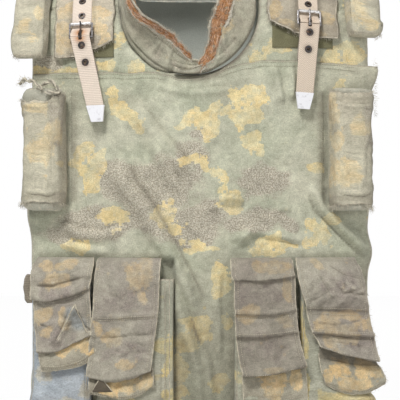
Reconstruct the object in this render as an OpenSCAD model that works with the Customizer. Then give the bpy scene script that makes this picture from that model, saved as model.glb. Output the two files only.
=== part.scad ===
/* [Panels] */
// Width of the front and back panels
panel_w = 496; // [460:2:540]
// Height above the hem at which the panels start to roll over the shoulders
roll_h = 556; // [540:1:590]
// Distance from the shoulder line forward to the outer face at mid width
depth = 115; // [105:1:135]
// Radius of the panels' bow across the chest, at the outer face
bow_r = 800; // [700:10:1100]
// Thickness of the cover cloth
cloth = 1.6; // [1.2:0.1:2.2]
// Thickness of the folded aramid pack
pack_t = 11; // [8:0.5:14]
// Thickness of the lining cloth
lining_t = 1.4; // [1:0.1:2]
// Clearance between soft layers
gap = 0.3; // [0.2:0.05:0.5]
// Width of the slit between the front and back at the shoulder line
seam_gap = 0.4; // [0.3:0.1:1]

/* [Armour plates] */
// Width of one titanium plate
plate_w = 88; // [80:1:90]
// Depth of the highest plates' upper edge below the start of the shoulder roll
plate_drop = 57; // [50:1:70]
// Thickness of one titanium plate
plate_t = 6.5; // [4:0.5:8]
// Space between two neighbouring plates
plate_space = 2.2; // [1.6:0.1:4]
// Columns of plates across a panel
plate_cols = 5; // [3:1:5]
// Rows of plates up a panel
plate_rows = 5; // [3:1:5]
// Height of the lowest plate's edge above the hem
plate_base = 28; // [20:1:34]
// Thickness of the cloth behind the plates
pocket_cloth = 0.9; // [0.6:0.1:1.4]

/* [Neck] */
// Radius of the neck opening
neck_r = 103; // [90:1:112]
// Sideways place of the neck opening's centre
neck_x = -15; // [-20:1:0]
// Height of the front neck opening's centre above the start of the shoulder roll
neck_rise = 55; // [44:1:66]
// Height of the back neck edge above the start of the shoulder roll
nape_rise = 78; // [69:1:88]
// Corner radius of the back neck edge
nape_r = 30; // [20:1:36]

/* [Collar] */
// Thickness of the padded collar
collar_t = 11; // [8:0.5:13]
// Width of the collar band where it is widest
collar_w = 44; // [36:1:50]
// Extra width of the right half's limp middle
limp_w = 9; // [0:1:12]
// Width of the worn strip of filling along the collar's edge
filling_w = 7; // [4:0.5:10]

/* [Chest pocket cloth] */
// Depth of the stitched top edge below the start of the shoulder roll, left
yoke_left_drop = 45; // [38:1:60]
// Depth of the stitched top edge below the start of the shoulder roll, right
yoke_right_drop = 27; // [22:1:40]
// Half width of the stretch on which the top edge dips under the neck
yoke_dip_w = 55; // [45:1:65]
// Thickness of the chest pocket cloth
chest_t = 1.2; // [0.8:0.1:1.6]
// Distance of the cloth from the panel's sides and hem
chest_inset = 3; // [2:0.5:8]

/* [Magazine pouches] */
// Height of the flaps' sewn roots above the hem
flap_root_h = 242; // [230:1:260]
// Depth of a pouch, front to back
pouch_d = 20; // [16:1:26]
// Height of a pouch body's floor above the hem
pouch_base = 8; // [4:1:16]
// Drop over which a flap comes forward across the pouch's mouth
mouth_drop = 28; // [26:1:34]
// Width of a pouch and its flap
pouch_w = 88; // [80:1:90]
// Extra width of the left inner pouch, its side gusset
gusset_w = 22; // [10:1:26]
// Space between the two pouches of a pair
pouch_space = 6; // [6:1:9]
// Sideways place of the left pair's outer edge
left_pair_x = -240; // [-240:1:-228]
// Sideways place of the right pair's inner edge
right_pair_x = 48; // [36:1:54]
// Length of the left outer flap
flap_left_outer_l = 122; // [100:1:150]
// Length of the left inner flap
flap_left_inner_l = 165; // [120:1:180]
// Length of the right inner flap
flap_right_inner_l = 158; // [120:1:180]
// Length of the right outer flap
flap_right_outer_l = 142; // [110:1:165]
// Thickness of the pouch cloth
pouch_t = 1.5; // [1:0.1:2]
// Thickness of a flap
flap_t = 2.6; // [2:0.1:3.4]
// Thickness of a hook or loop strip
strip_t = 1.1; // [0.8:0.1:1.6]
// Height of a hook or loop strip
strip_h = 24; // [16:1:30]

/* [Side rolls] */
// Sideways place of the left side roll's middle
side_roll_left_x = -221; // [-224:1:-205]
// Sideways place of the right side roll's middle
side_roll_right_x = 213; // [205:1:224]
// Thickness of the sleeve's cloth
sleeve_t = 1.2; // [0.8:0.1:1.6]
// Width of a side roll
side_roll_w = 68; // [56:1:74]
// Thickness of a side roll
side_roll_t = 42; // [34:1:48]
// Height of a side roll's lower end above the hem
side_roll_base = 310; // [300:1:330]
// Length of a side roll's core
side_roll_l = 180; // [160:1:184]
// Length of the side roll's cloth sleeve
sleeve_l = 152; // [130:1:158]

/* [Shoulder rolls] */
// Sideways place of the left shoulder roll's middle
shoulder_roll_left_x = -244; // [-250:1:-238]
// Sideways place of the right shoulder roll's middle
shoulder_roll_right_x = 236; // [232:1:246]
// Width of a shoulder roll
shoulder_roll_w = 58; // [50:1:62]
// Thickness of a shoulder roll
shoulder_roll_t = 30; // [22:1:34]
// Height of the left shoulder roll's lower end above the start of the shoulder roll-over
shoulder_roll_left_rise = -22; // [-26:1:-4]
// Height of the right shoulder roll's lower end above the start of the shoulder roll-over
shoulder_roll_right_rise = 8; // [-10:1:24]

/* [Shoulder flaps] */
// Outer edge of the left shoulder flap
flap_left_outer_x = -212; // [-214:1:-200]
// Inner edge of the left shoulder flap
flap_left_inner_x = -125; // [-145:1:-122]
// Depth of the left shoulder flap's outer corner below the start of the shoulder roll
flap_left_drop = 22; // [11:1:26]
// Inner edge of the right shoulder flap
flap_right_inner_x = 98; // [94:1:130]
// Outer edge of the right shoulder flap
flap_right_outer_x = 201; // [190:1:202]
// Height of the right shoulder flap's outer corner above the start of the shoulder roll
flap_right_rise = 6; // [0:1:14]
// Rise of a shoulder flap's lower edge from its outer to its inner side
flap_rise = 24; // [10:1:30]

/* [Shoulder straps] */
// Sideways place of the left strap
strap_left_x = -171; // [-176:1:-166]
// Sideways place of the right strap
strap_right_x = 157; // [150:1:164]
// Height of the left buckle's middle above the start of the shoulder roll
buckle_left_rise = 15; // [12:1:22]
// Height of the right buckle's middle above the start of the shoulder roll
buckle_right_rise = 32; // [28:1:36]
// Sideways lean of the left loose end
lean_left = 20; // [0:1:26]
// Sideways lean of the right loose end
lean_right = -2; // [-14:1:0]
// Width of the strap webbing
web_w = 29; // [25:0.5:31]
// Thickness of the strap webbing
web_t = 2.2; // [1.6:0.1:2.4]
// Thickness of a shoulder flap
shoulder_flap_t = 4; // [3:0.1:4.5]
// Thickness of a loop patch
patch_t = 0.6; // [0.4:0.1:0.9]
// Length of the strap's loose end without its tip
tail_l = 103; // [90:1:110]
// Length of the strap's tip
tip_l = 21; // [16:1:26]
// Pitch of the eyelets
eyelet_pitch = 25; // [22:0.5:26]
// Radius of an eyelet's hole
eyelet_r = 2.5; // [2.2:0.1:2.8]
// Radius of an eyelet's flange
eyelet_flange_r = 5.4; // [4.8:0.1:6]

/* [Buckles] */
// Diameter of the buckle wire
wire_d = 3; // [2.6:0.1:3.2]
// Distance between the buckle's two bars
bar_space = 20; // [19:0.5:22]
// Outer radius of the roller
roller_r = 2.6; // [2.3:0.1:2.8]
// Diameter of the prong
prong_d = 2.4; // [2:0.1:2.6]
// Space between the webbing's edges and the buckle's arms
buckle_play = 0.8; // [0.5:0.1:1.2]
// Thickness of the webbing that holds the buckle
stub_t = 1.8; // [1.4:0.1:2]

/* [Shoulder rest] */
// Sideways distance of the middle of a shoulder from the vest's middle
rest_x = 180; // [170:1:190]
// Height of the shoulder fold line above the cloth's highest point
fold_rise = 3; // [2:0.5:8]

/* [Side wings] */
// Thickness of a side wing
wing_t = 6; // [4:0.5:8]
// Height of a side wing's lower edge above the hem
wing_base = 40; // [20:1:60]
// Height of a side wing
wing_h = 190; // [150:1:200]
// Sideways place of the wing's front end
wing_end_x = 150; // [130:1:170]
// Width of the hook strip on a wing
wing_strip_w = 40; // [30:1:50]
// Distance of the hook strip from the wing's edges
wing_strip_edge = 8; // [6:1:12]

/* [Side loop] */
// Height of the side loop's lower edge above the hem
loop_base = 174; // [150:1:190]
// Length of the side loop along the panel's edge
loop_h = 42; // [30:1:46]

/* [Hidden] */

// Facets of large and small circles
$fn = 48;
big_fn = 360;

// Colours of the cloths, webbing and metal
sage = [0.56, 0.57, 0.45];
grey_green = [0.50, 0.52, 0.44];
faded = [0.60, 0.58, 0.47];
olive = [0.42, 0.42, 0.27];
webbing = [0.80, 0.68, 0.55];
worn_steel = [0.30, 0.29, 0.30];
titanium = [0.60, 0.60, 0.62];
aramid = [0.80, 0.70, 0.32];
filling = [0.55, 0.36, 0.20];
tip_white = [0.90, 0.90, 0.92];

// Depths of the layers below the outer face
plate_t0 = cloth + gap;
plate_t1 = plate_t0 + plate_t;
pocket_t1 = plate_t1 + gap + pocket_cloth;
pack_t0 = pocket_t1 + gap;
pack_t1 = pack_t0 + pack_t;
rim_t = pack_t1 + gap;
lining_t0 = rim_t + gap;
lining_t1 = lining_t0 + lining_t;

// Heights of the layers above the outer face
chest_n = gap + chest_t;
patch_n = gap + patch_t;
flap_n0 = patch_n + gap;
flap_n1 = flap_n0 + shoulder_flap_t;
strap_n0 = flap_n1 + gap;
strap_n1 = strap_n0 + web_t;

// Height of the part's origin, where the shoulders rest, above the hem
rest_h = roll_h + sqrt(bow_r * bow_r - rest_x * rest_x) - bow_r + depth - lining_t1;
// Height of one plate, from the space between the hem and the start of the shoulder roll
plate_h = (roll_h - plate_drop - plate_base) / plate_rows - plate_space;

// Heights above the hem of what lies near the shoulders
neck_h = roll_h + neck_rise;
nape_h = roll_h + nape_rise;
yoke_left_h = roll_h - yoke_left_drop;
yoke_right_h = roll_h - yoke_right_drop;
shoulder_roll_left_h = roll_h + shoulder_roll_left_rise;
shoulder_roll_right_h = roll_h + shoulder_roll_right_rise;
flap_left_h = roll_h - flap_left_drop;
flap_right_h = roll_h + flap_right_rise;
buckle_left_h = roll_h + buckle_left_rise;
buckle_right_h = roll_h + buckle_right_rise;
// More than the height of the whole vest
top_h = roll_h + depth + 60;
// Length of the rolled stretch along the outer face
roll_l = depth * PI / 2;

// Surface of the panels: the bow across the chest, then the roll over the shoulder
function tilt(x) = asin(x / bow_r);
function bow_y(x) = bow_r - depth - sqrt(bow_r * bow_r - x * x);
function arc_at(x) = bow_r * tilt(x) * PI / 180;
function face_y(x, z) = z < roll_h ? bow_y(x)
    : -sqrt(max(0, pow(bow_y(x), 2) - pow(z - roll_h, 2)));
function roll_angle(x, z) = z < roll_h ? 0 : asin(min(1, (z - roll_h) / -bow_y(x)));
function length_at(x, z) = min(z, roll_h) + depth * roll_angle(x, z) * PI / 180;
function skin(x, n, l) =
    let (y = bow_y(x) - n * cos(tilt(x)), a = max(0, l - roll_h) / depth * 180 / PI)
    [x + n * sin(tilt(x)), y * cos(a), min(l, roll_h) - y * sin(a)];

function unit(v) = v / norm(v);
function mix(a, b, t) = a + (b - a) * t;
function smooth(t) = let (s = max(0, min(1, t))) s * s * (3 - 2 * s);
function bump(t, c, w) = exp(-pow((t - c) / w, 2));

module on_shoulders() {
    translate([0, 0, -rest_h]) children();
}

// Plan outline of a layer between two depths below the outer face
module bow(t0, t1, x0, x1) {
    intersection() {
        difference() {
            translate([0, bow_r - depth]) circle(r = bow_r - t0, $fn = big_fn);
            translate([0, bow_r - depth]) circle(r = bow_r - t1, $fn = big_fn);
        }
        translate([x0, -2 * depth]) square([x1 - x0, 2 * depth]);
    }
}

module rolled(t0, t1, x0, x1, a0, a1) {
    translate([0, 0, roll_h]) rotate([90, 0, -90]) rotate([0, 0, a0])
        rotate_extrude(angle = a1 - a0, $fn = big_fn) rotate(90) mirror([1, 0]) bow(t0, t1, x0, x1);
}

// A layer of the front panel from height z0 up and over to the shoulder line
module layer(t0, t1, x0 = -panel_w / 2, x1 = panel_w / 2, z0 = 0) {
    union() {
        translate([0, 0, z0]) linear_extrude(roll_h - z0) bow(t0, t1, x0, x1);
        rolled(t0, t1, x0, x1, 0, 90);
    }
}

// A right prism through the front panel, its outline drawn in X and Z
module through(y = -seam_gap / 2) {
    translate([0, y, 0]) rotate([90, 0, 0]) linear_extrude(3 * depth) children();
}

// A curved block on the bow, between two depths, two arc lengths and two heights
module block(t0, t1, a0, a1, z0, z1) {
    turn = 180 / PI / bow_r;
    translate([0, bow_r - depth, z0]) rotate([0, 0, a0 * turn - 90])
        rotate_extrude(angle = (a1 - a0) * turn, $fn = big_fn)
            translate([bow_r - t1, 0]) square([t1 - t0, z1 - z0]);
}

// Frame on the outer face: X along the cloth, -Y outward, Z up the cloth
module on_face(x, z) {
    translate([0, 0, min(z, roll_h)]) rotate([-roll_angle(x, z), 0, 0])
        translate([x, bow_y(x), 0]) rotate([0, 0, tilt(x)]) children();
}

// The same rings of points, run the other way round
function turned(rings) = [for (r = rings) [for (i = [len(r) - 1:-1:0]) r[i]]];

// Closed solid from rings of points, with a fan at each end
module loft(rings) {
    n = len(rings[0]);
    m = len(rings);
    middles = [for (r = [rings[0], rings[m - 1]]) [for (k = [0:2]) let (c = [for (p = r) p[k]])
        (c * [for (i = c) 1]) / n]];
    points = concat([for (r = rings) for (p = r) p], middles);
    walls = [for (j = [0:m - 2]) for (i = [0:n - 1])
        let (a = j * n + i, b = j * n + (i + 1) % n) each [[a, b, b + n], [a, b + n, a + n]]];
    ends = [for (i = [0:n - 1]) each [
        [m * n, (i + 1) % n, i],
        [m * n + 1, (m - 1) * n + i, (m - 1) * n + (i + 1) % n]]];
    polyhedron(points, concat(walls, ends));
}

// Closed wall from rings of points that come back to the first ring
module ring_wall(rings) {
    n = len(rings[0]);
    m = len(rings);
    walls = [for (j = [0:m - 1]) for (i = [0:n - 1])
        let (k = (j + 1) % m, a = j * n + i, b = j * n + (i + 1) % n,
             c = k * n + i, d = k * n + (i + 1) % n) each [[a, b, d], [a, d, c]]];
    polyhedron([for (r = rings) for (p = r) p], walls);
}

// Closed sheet between an outer and an inner surface over u from -1 to 1 and v from 0 to 1
module sheet(nu, nv, outer, inner) {
    us = [for (i = [0:nu]) 2 * i / nu - 1];
    vs = [for (j = [0:nv]) j / nv];
    w = nu + 1;
    s = w * (nv + 1);
    points = concat([for (v = vs) for (u = us) outer(u, v)], [for (v = vs) for (u = us) inner(u, v)]);
    faces = [for (j = [0:nv - 1]) for (i = [0:nu - 1]) let (a = j * w + i, b = a + 1, c = a + w, d = c + 1)
        each [[a, b, d], [a, d, c], [s + a, s + d, s + b], [s + a, s + c, s + d]]];
    sides = concat(
        [for (i = [0:nu - 1]) let (a = i, b = i + 1) each [[a, s + a, s + b], [a, s + b, b]]],
        [for (i = [0:nu - 1]) let (a = nv * w + i, b = a + 1) each [[a, b, s + b], [a, s + b, s + a]]],
        [for (j = [0:nv - 1]) let (a = j * w, b = a + w) each [[a, b, s + b], [a, s + b, s + a]]],
        [for (j = [0:nv - 1]) let (a = j * w + nu, b = a + w) each [[a, s + a, s + b], [a, s + b, b]]]);
    polyhedron(points, concat(faces, sides));
}

// Outlines of the panels in X and Z
module neck_hole(grow) {
    r = neck_r + grow;
    translate([neck_x, neck_h]) {
        circle(r = r, $fn = 96);
        translate([-r, 0]) square([2 * r, top_h]);
    }
}

module nape_hole(grow) {
    r = neck_r + grow;
    translate([neck_x - r, nape_h - grow]) {
        translate([0, nape_r]) square([2 * r, top_h]);
        translate([nape_r, 0]) square([2 * (r - nape_r), nape_r + 1]);
        for (x = [nape_r, 2 * r - nape_r]) translate([x, nape_r]) circle(r = nape_r);
    }
}

module panel_outline(inset) {
    translate([inset - panel_w / 2, inset]) square([panel_w - 2 * inset, top_h]);
}

module front_outline(inset) {
    difference() {
        panel_outline(inset);
        neck_hole(inset);
    }
}

module back_outline(inset) {
    difference() {
        panel_outline(inset);
        nape_hole(inset);
    }
}

// One layer of the front or back panel, cut to its outline
module front_layer(t0, t1, inset) {
    intersection() {
        layer(t0, t1);
        through(-seam_gap / 2 - inset) front_outline(inset);
    }
}

module back_layer(t0, t1, inset) {
    mirror([0, 1, 0]) intersection() {
        layer(t0, t1);
        through(-seam_gap / 2 - inset) back_outline(inset);
    }
}

module front_cover() {
    on_shoulders() color(sage) difference() {
        front_layer(0, rim_t, 0);
        front_layer(cloth, rim_t + 1, cloth);
    }
}

module front_lining() {
    on_shoulders() color(grey_green) front_layer(lining_t0, lining_t1, 0);
}

module front_ballistic_pack() {
    on_shoulders() color(aramid) front_layer(pack_t0, pack_t1, cloth + gap);
}

module back_cover() {
    on_shoulders() color(sage) difference() {
        back_layer(0, rim_t, 0);
        back_layer(cloth, rim_t + 1, cloth);
    }
}

module back_lining() {
    on_shoulders() color(grey_green) back_layer(lining_t0, lining_t1, 0);
}

module back_ballistic_pack() {
    on_shoulders() color(aramid) back_layer(pack_t0, pack_t1, cloth + gap);
}

// One armour plate, with room round it when it is cut from its pocket
module plate(col, row, room, t0, t1) {
    a = (col - (plate_cols - 1) / 2) * (plate_w + plate_space);
    z = plate_base + row * (plate_h + plate_space);
    block(t0, t1, a - plate_w / 2 - room, a + plate_w / 2 + room, z - room, z + plate_h + room);
}

module plates() {
    color(titanium) for (row = [0:plate_rows - 1]) for (col = [0:plate_cols - 1])
        plate(col, row, 0, plate_t0, plate_t1);
}

module plate_pockets() {
    half = plate_cols * (plate_w + plate_space) / 2;
    color(olive) difference() {
        block(plate_t0, pocket_t1, -half, half, plate_base - plate_space,
              plate_base + plate_rows * (plate_h + plate_space));
        for (row = [0:plate_rows - 1]) for (col = [0:plate_cols - 1])
            plate(col, row, gap, plate_t0 - 1, plate_t1 + gap);
    }
}

module front_plate_pockets() {
    on_shoulders() plate_pockets();
}

module front_plates() {
    on_shoulders() plates();
}

module back_plate_pockets() {
    on_shoulders() mirror([0, 1, 0]) plate_pockets();
}
module back_plates() {
    on_shoulders() mirror([0, 1, 0]) plates();
}

// Outer cloth of the chest pocket, up to the stitched yoke seam
module chest_pocket_cloth() {
    half = panel_w / 2 - chest_inset;
    dip = neck_h - neck_r - 6;
    on_shoulders() color(sage) intersection() {
        translate([0, 0, chest_inset]) linear_extrude(roll_h) bow(-chest_n, -gap, -half, half);
        through() polygon([
            [-half, chest_inset], [half, chest_inset], [half, yoke_right_h - 4],
            [neck_x + 2 * yoke_dip_w, yoke_right_h], [neck_x + yoke_dip_w, min(dip + 10, yoke_right_h)],
            [neck_x + 15, dip], [neck_x - 15, dip], [neck_x - yoke_dip_w, yoke_left_h],
            [-half, yoke_left_h]]);
    }
}

// Magazine pouches, and the strips that their flaps close on
pouch_n0 = chest_n + gap;
pouch_n1 = pouch_n0 + pouch_d;
pouch_top = flap_root_h - mouth_drop - 2;
pouch_x = [left_pair_x, left_pair_x + pouch_w + pouch_space, right_pair_x,
    right_pair_x + pouch_w + pouch_space];
flap_l = [flap_left_outer_l, flap_left_inner_l, flap_right_inner_l, flap_right_outer_l];
strip_side = 5;
loop_strip_h = strip_h + 16;

module pouch(i, w) {
    a0 = arc_at(pouch_x[i]);
    on_shoulders() color(faded) difference() {
        block(-pouch_n1, -pouch_n0, a0, a0 + w, pouch_base, pouch_top);
        block(pouch_t - pouch_n1, -pouch_n0 - pouch_t, a0 + pouch_t, a0 + w - pouch_t,
              pouch_base + pouch_t, pouch_top + 1);
    }
}

module pouch_left_outer() {
    pouch(0, pouch_w);
}
module pouch_left_inner() {
    pouch(1, pouch_w + gusset_w);
}
module pouch_right_inner() {
    pouch(2, pouch_w);
}
module pouch_right_outer() {
    pouch(3, pouch_w);
}

module pouch_loop_strips() {
    n0 = pouch_n1 + gap;
    on_shoulders() color(olive) for (i = [0:3]) {
        a0 = arc_at(pouch_x[i]);
        z1 = flap_root_h - flap_l[i] + 12;
        block(-n0 - strip_t, -n0, a0 + strip_side, a0 + pouch_w - strip_side, z1 - loop_strip_h, z1);
    }
}

// Flaps: each hangs from a sewn root, over the pouch's mouth and down its front
flap_axis_n = chest_n + flap_t / 2 + 0.5;
hang_n = pouch_n1 + 3 * gap + 2 * strip_t + flap_t / 2;
flap_slant = [-14, -5, -8, 12];
flap_skew = [-1, -6, 4, 14];
flap_flare = [0.03, 0.05, 0.04, 0.02];
// Folds of each flap: place down the flap, how far it stands out, how far it droops
flap_folds = [
    [[62, 6, 7], [108, 3.5, 5]],
    [[34, 5, 9], [120, 3.5, -8]],
    [[30, 5, 4], [150, 3, 4]],
    [[64, 5.5, -9], [104, 4, -7]]
];

function flap_x(i) = let (a = arc_at(pouch_x[i]) + pouch_w / 2) bow_r * sin(a / bow_r * 180 / PI);
function fold(d, at, out) = out * smooth((d - at + 26) / 26) * (1 - smooth((d - at) / 7));
function flap_point(i, u, v, side) =
    let (
        drop = v * (flap_l[i] + flap_slant[i] * u * smooth(v * 1.4)),
        folds = flap_folds[i],
        rise = [for (f = folds) fold(drop, f[0] + f[2] * (1 - u * u), f[1])] * [for (f = folds) 1],
        roll = 1.6 * smooth(v * 3 - 0.6) * (1 + sin(300 * u + 90 * i)) * smooth(v * 4),
        half = pouch_w / 2 * (1 + flap_flare[i] * v),
        slope = smooth(drop / mouth_drop) * (1 - smooth(drop / mouth_drop)) * 4,
        n = mix(flap_axis_n, hang_n, smooth(drop / mouth_drop)) + rise + roll,
        lift = flap_t / 2 * side
    )
    [u * half + flap_skew[i] * v, -n - lift * (1 - 0.3 * slope), -drop + lift * 0.7 * slope];

module flap(i) {
    on_shoulders() color(faded) on_face(flap_x(i), flap_root_h)
        sheet(8, 24, function (u, v) flap_point(i, u, v, 1), function (u, v) flap_point(i, u, v, -1));
}

module flap_left_outer() {
    flap(0);
}
module flap_left_inner() {
    flap(1);
}
module flap_right_inner() {
    flap(2);
}
module flap_right_outer() {
    flap(3);
}

module flap_strip(i) {
    low = flap_l[i] - abs(flap_slant[i]) - 4;
    on_shoulders() color(olive) on_face(flap_x(i), flap_root_h)
        translate([strip_side - pouch_w / 2, gap + flap_t / 2 - hang_n, -low])
            cube([pouch_w - 2 * strip_side, strip_t, strip_h]);
}

module flap_strip_left_outer() {
    flap_strip(0);
}
module flap_strip_left_inner() {
    flap_strip(1);
}
module flap_strip_right_inner() {
    flap_strip(2);
}
module flap_strip_right_outer() {
    flap_strip(3);
}

// Padded rolls: rings across a roll, whose middle lies at x, n above the cloth and l along it
function spow(v, e) = sign(v) * pow(abs(v), e);
function across(x, s, n, l) =
    let (y = bow_y(x) + s * sin(tilt(x)) - n * cos(tilt(x)), a = max(0, l - roll_h) / depth * 180 / PI)
    [x + s * cos(tilt(x)) + n * sin(tilt(x)), y * cos(a), min(l, roll_h) - y * sin(a)];
function roll_ring(x, half_w, half_t, n, l, points = 20, e = 0.8) =
    [for (i = [0:points - 1]) let (a = 360 * i / points)
        across(x, half_w * spow(cos(a), e), n + half_t * spow(sin(a), e), l)];
// Narrowing of a roll towards its ends, t from 0 to 1 along it
function drawn_in(t, low) = mix(low, 1, sqrt(max(0, 1 - pow(abs(2 * t - 1), 6))));

side_roll_n = chest_n + gap + side_roll_t / 2;
sleeve_t0 = (side_roll_l - sleeve_l) * 0.35 / side_roll_l;
sleeve_t1 = sleeve_t0 + sleeve_l / side_roll_l;

function side_ring(x, t, inset) = let (k = drawn_in(t, 0.62) * (1 - 0.05 * bump(t, 0.5, 0.3)))
    roll_ring(x, side_roll_w / 2 * k - inset, side_roll_t / 2 * k - inset, side_roll_n,
              side_roll_base + t * side_roll_l);

module side_roll_sleeve(x) {
    steps = 8;
    ts = [for (i = [0:steps]) mix(sleeve_t0, sleeve_t1, i / steps)];
    on_shoulders() color(faded) ring_wall(concat(
        [for (t = ts) side_ring(x, t, 0)],
        [for (i = [steps:-1:0]) side_ring(x, ts[i], sleeve_t)]));
}

module side_roll_core(x) {
    ts = [0, 0.015, 0.05, 0.12, 0.25, 0.4, 0.6, 0.75, 0.88, 0.95, 0.985, 1];
    on_shoulders() color(grey_green) loft([for (t = ts) side_ring(x, t, sleeve_t + 3 * gap)]);
}

module side_roll_sleeve_left() {
    side_roll_sleeve(side_roll_left_x);
}
module side_roll_sleeve_right() {
    side_roll_sleeve(side_roll_right_x);
}
module side_roll_core_left() {
    side_roll_core(side_roll_left_x);
}
module side_roll_core_right() {
    side_roll_core(side_roll_right_x);
}

module shoulder_roll(x, low) {
    l0 = length_at(x, low);
    l1 = roll_h + roll_l * 0.955;
    ts = [0, 0.02, 0.07, 0.16, 0.28, 0.4, 0.52, 0.64, 0.76, 0.87, 0.95, 0.985, 1];
    on_shoulders() color(faded) loft([for (t = ts) let (k = drawn_in(t, 0.55))
        roll_ring(x, shoulder_roll_w / 2 * k, shoulder_roll_t / 2 * k, 3 * gap + shoulder_roll_t / 2,
                  mix(l0, l1, t), 16)]);
}

module shoulder_roll_left() {
    shoulder_roll(shoulder_roll_left_x, shoulder_roll_left_h);
}
module shoulder_roll_right() {
    shoulder_roll(shoulder_roll_right_x, shoulder_roll_right_h);
}

// Shoulder flaps, and the loop patches that they close on
module shoulder_flap(outer_x, inner_x, low_h) {
    x0 = min(outer_x, inner_x);
    x1 = max(outer_x, inner_x);
    on_shoulders() color(sage) intersection() {
        layer(-flap_n1, -flap_n0, x0, x1, low_h - 20);
        through() polygon([
            [outer_x, low_h], [mix(outer_x, inner_x, 0.45), low_h + 0.1 * flap_rise],
            [inner_x, low_h + flap_rise], [inner_x, top_h], [outer_x, top_h]]);
    }
}

module shoulder_flap_left() {
    shoulder_flap(flap_left_outer_x, flap_left_inner_x, flap_left_h);
}
module shoulder_flap_right() {
    shoulder_flap(flap_right_outer_x, flap_right_inner_x, flap_right_h);
}

module loop_patch(x0, x1, z0, z1) {
    intersection() {
        layer(-patch_n, -gap, x0, x1, min(z0, roll_h - 10));
        through() translate([x0, z0]) square([x1 - x0, z1 - z0]);
    }
}

patch_side = 7;
patch_h = 54;
patch_left_out = 9;
patch_right_out = 14;

module loop_patches() {
    left = flap_left_h - patch_left_out;
    right = flap_right_h - patch_right_out;
    on_shoulders() color(olive) {
        loop_patch(flap_left_outer_x + patch_side, flap_left_inner_x + 3, left, left + patch_h);
        loop_patch(flap_right_inner_x + patch_side, flap_right_outer_x - patch_side, right, right + patch_h);
    }
}

// Buckle: a frame of two bars and two arms, its middle on the strap
wire_r = wire_d / 2;
wrap_r0 = wire_r + 0.1;
wrap_r = wrap_r0 + stub_t;
bar_n = strap_n1 + gap + roller_r + 0.4;
over_n = wrap_r + 0.4;
buckle_w = web_w + 2 * buckle_play;
prong_slot_w = prong_d + 2.6;
stub_w = web_w - 2;
strap_x = [strap_left_x, strap_right_x];
buckle_h = [buckle_left_h, buckle_right_h];
yoke_h = [yoke_left_h, yoke_right_h];
lean = [lean_left, lean_right];

// Frame at the buckle's middle on the outer face, and the lower bar's middle in the part
module at_buckle(i) {
    on_face(strap_x[i], buckle_h[i]) children();
}
function bar_middle(i) =
    let (x = strap_x[i], a = roll_angle(x, buckle_h[i]), z = -bar_space / 2,
         y = bow_y(x) - bar_n * cos(tilt(x)))
    [x + bar_n * sin(tilt(x)), y * cos(a) + z * sin(a), roll_h - y * sin(a) + z * cos(a)];
// X along the bar, -Y straight outward, so that what hangs here hangs upright
module at_lower_bar(i) {
    t = tilt(strap_x[i]);
    a = roll_angle(strap_x[i], buckle_h[i]);
    translate(bar_middle(i)) rotate([0, asin(sin(t) * sin(a)), atan2(sin(t) * cos(a), cos(t))])
        children();
}

module buckle_frame(i) {
    half = buckle_w / 2 + wire_r;
    on_shoulders() color(worn_steel) at_buckle(i) translate([0, -bar_n, 0]) union() {
        for (z = [-1, 1] * bar_space / 2)
            translate([-half, 0, z]) rotate([0, 90, 0]) cylinder(r = wire_r, h = 2 * half, $fn = 24);
        for (x = [-half, half]) {
            translate([x, 0, -bar_space / 2]) cylinder(r = wire_r, h = bar_space, $fn = 24);
            for (z = [-1, 1] * bar_space / 2) translate([x, 0, z]) sphere(r = wire_r, $fn = 24);
        }
    }
}

module buckle_roller(i) {
    l = buckle_w - 0.6;
    on_shoulders() color(worn_steel) at_buckle(i) translate([-l / 2, -bar_n, bar_space / 2])
        rotate([0, 90, 0]) difference() {
            cylinder(r = roller_r, h = l, $fn = 32);
            translate([0, 0, -1]) cylinder(r = wire_r + 0.15, h = l + 2, $fn = 32);
        }
}

module buckle_prong(i) {
    ring_r = wire_r + 0.15;
    from = [0, ring_r + prong_d / 2 - 0.2, 0.5];
    to = [0, roller_r + prong_d / 2 + 0.2, bar_space + roller_r + 0.6];
    on_shoulders() color(worn_steel) at_buckle(i) translate([0, -bar_n, -bar_space / 2]) union() {
        difference() {
            translate([-prong_d / 2, 0, 0]) rotate([0, 90, 0])
                cylinder(r = ring_r + 1.5, h = prong_d, $fn = 32);
            translate([-prong_d, 0, 0]) rotate([0, 90, 0]) cylinder(r = ring_r, h = 2 * prong_d, $fn = 32);
        }
        translate([0, -from.y, from.z]) rotate([atan2(to.y - from.y, to.z - from.z), 0, 0])
            cylinder(r = prong_d / 2 - 0.05, h = norm(to - from), $fn = 24);
    }
}

module buckle_frame_left() {
    buckle_frame(0);
}
module buckle_frame_right() {
    buckle_frame(1);
}
module buckle_roller_left() {
    buckle_roller(0);
}
module buckle_roller_right() {
    buckle_roller(1);
}
module buckle_prong_left() {
    buckle_prong(0);
}
module buckle_prong_right() {
    buckle_prong(1);
}

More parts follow.
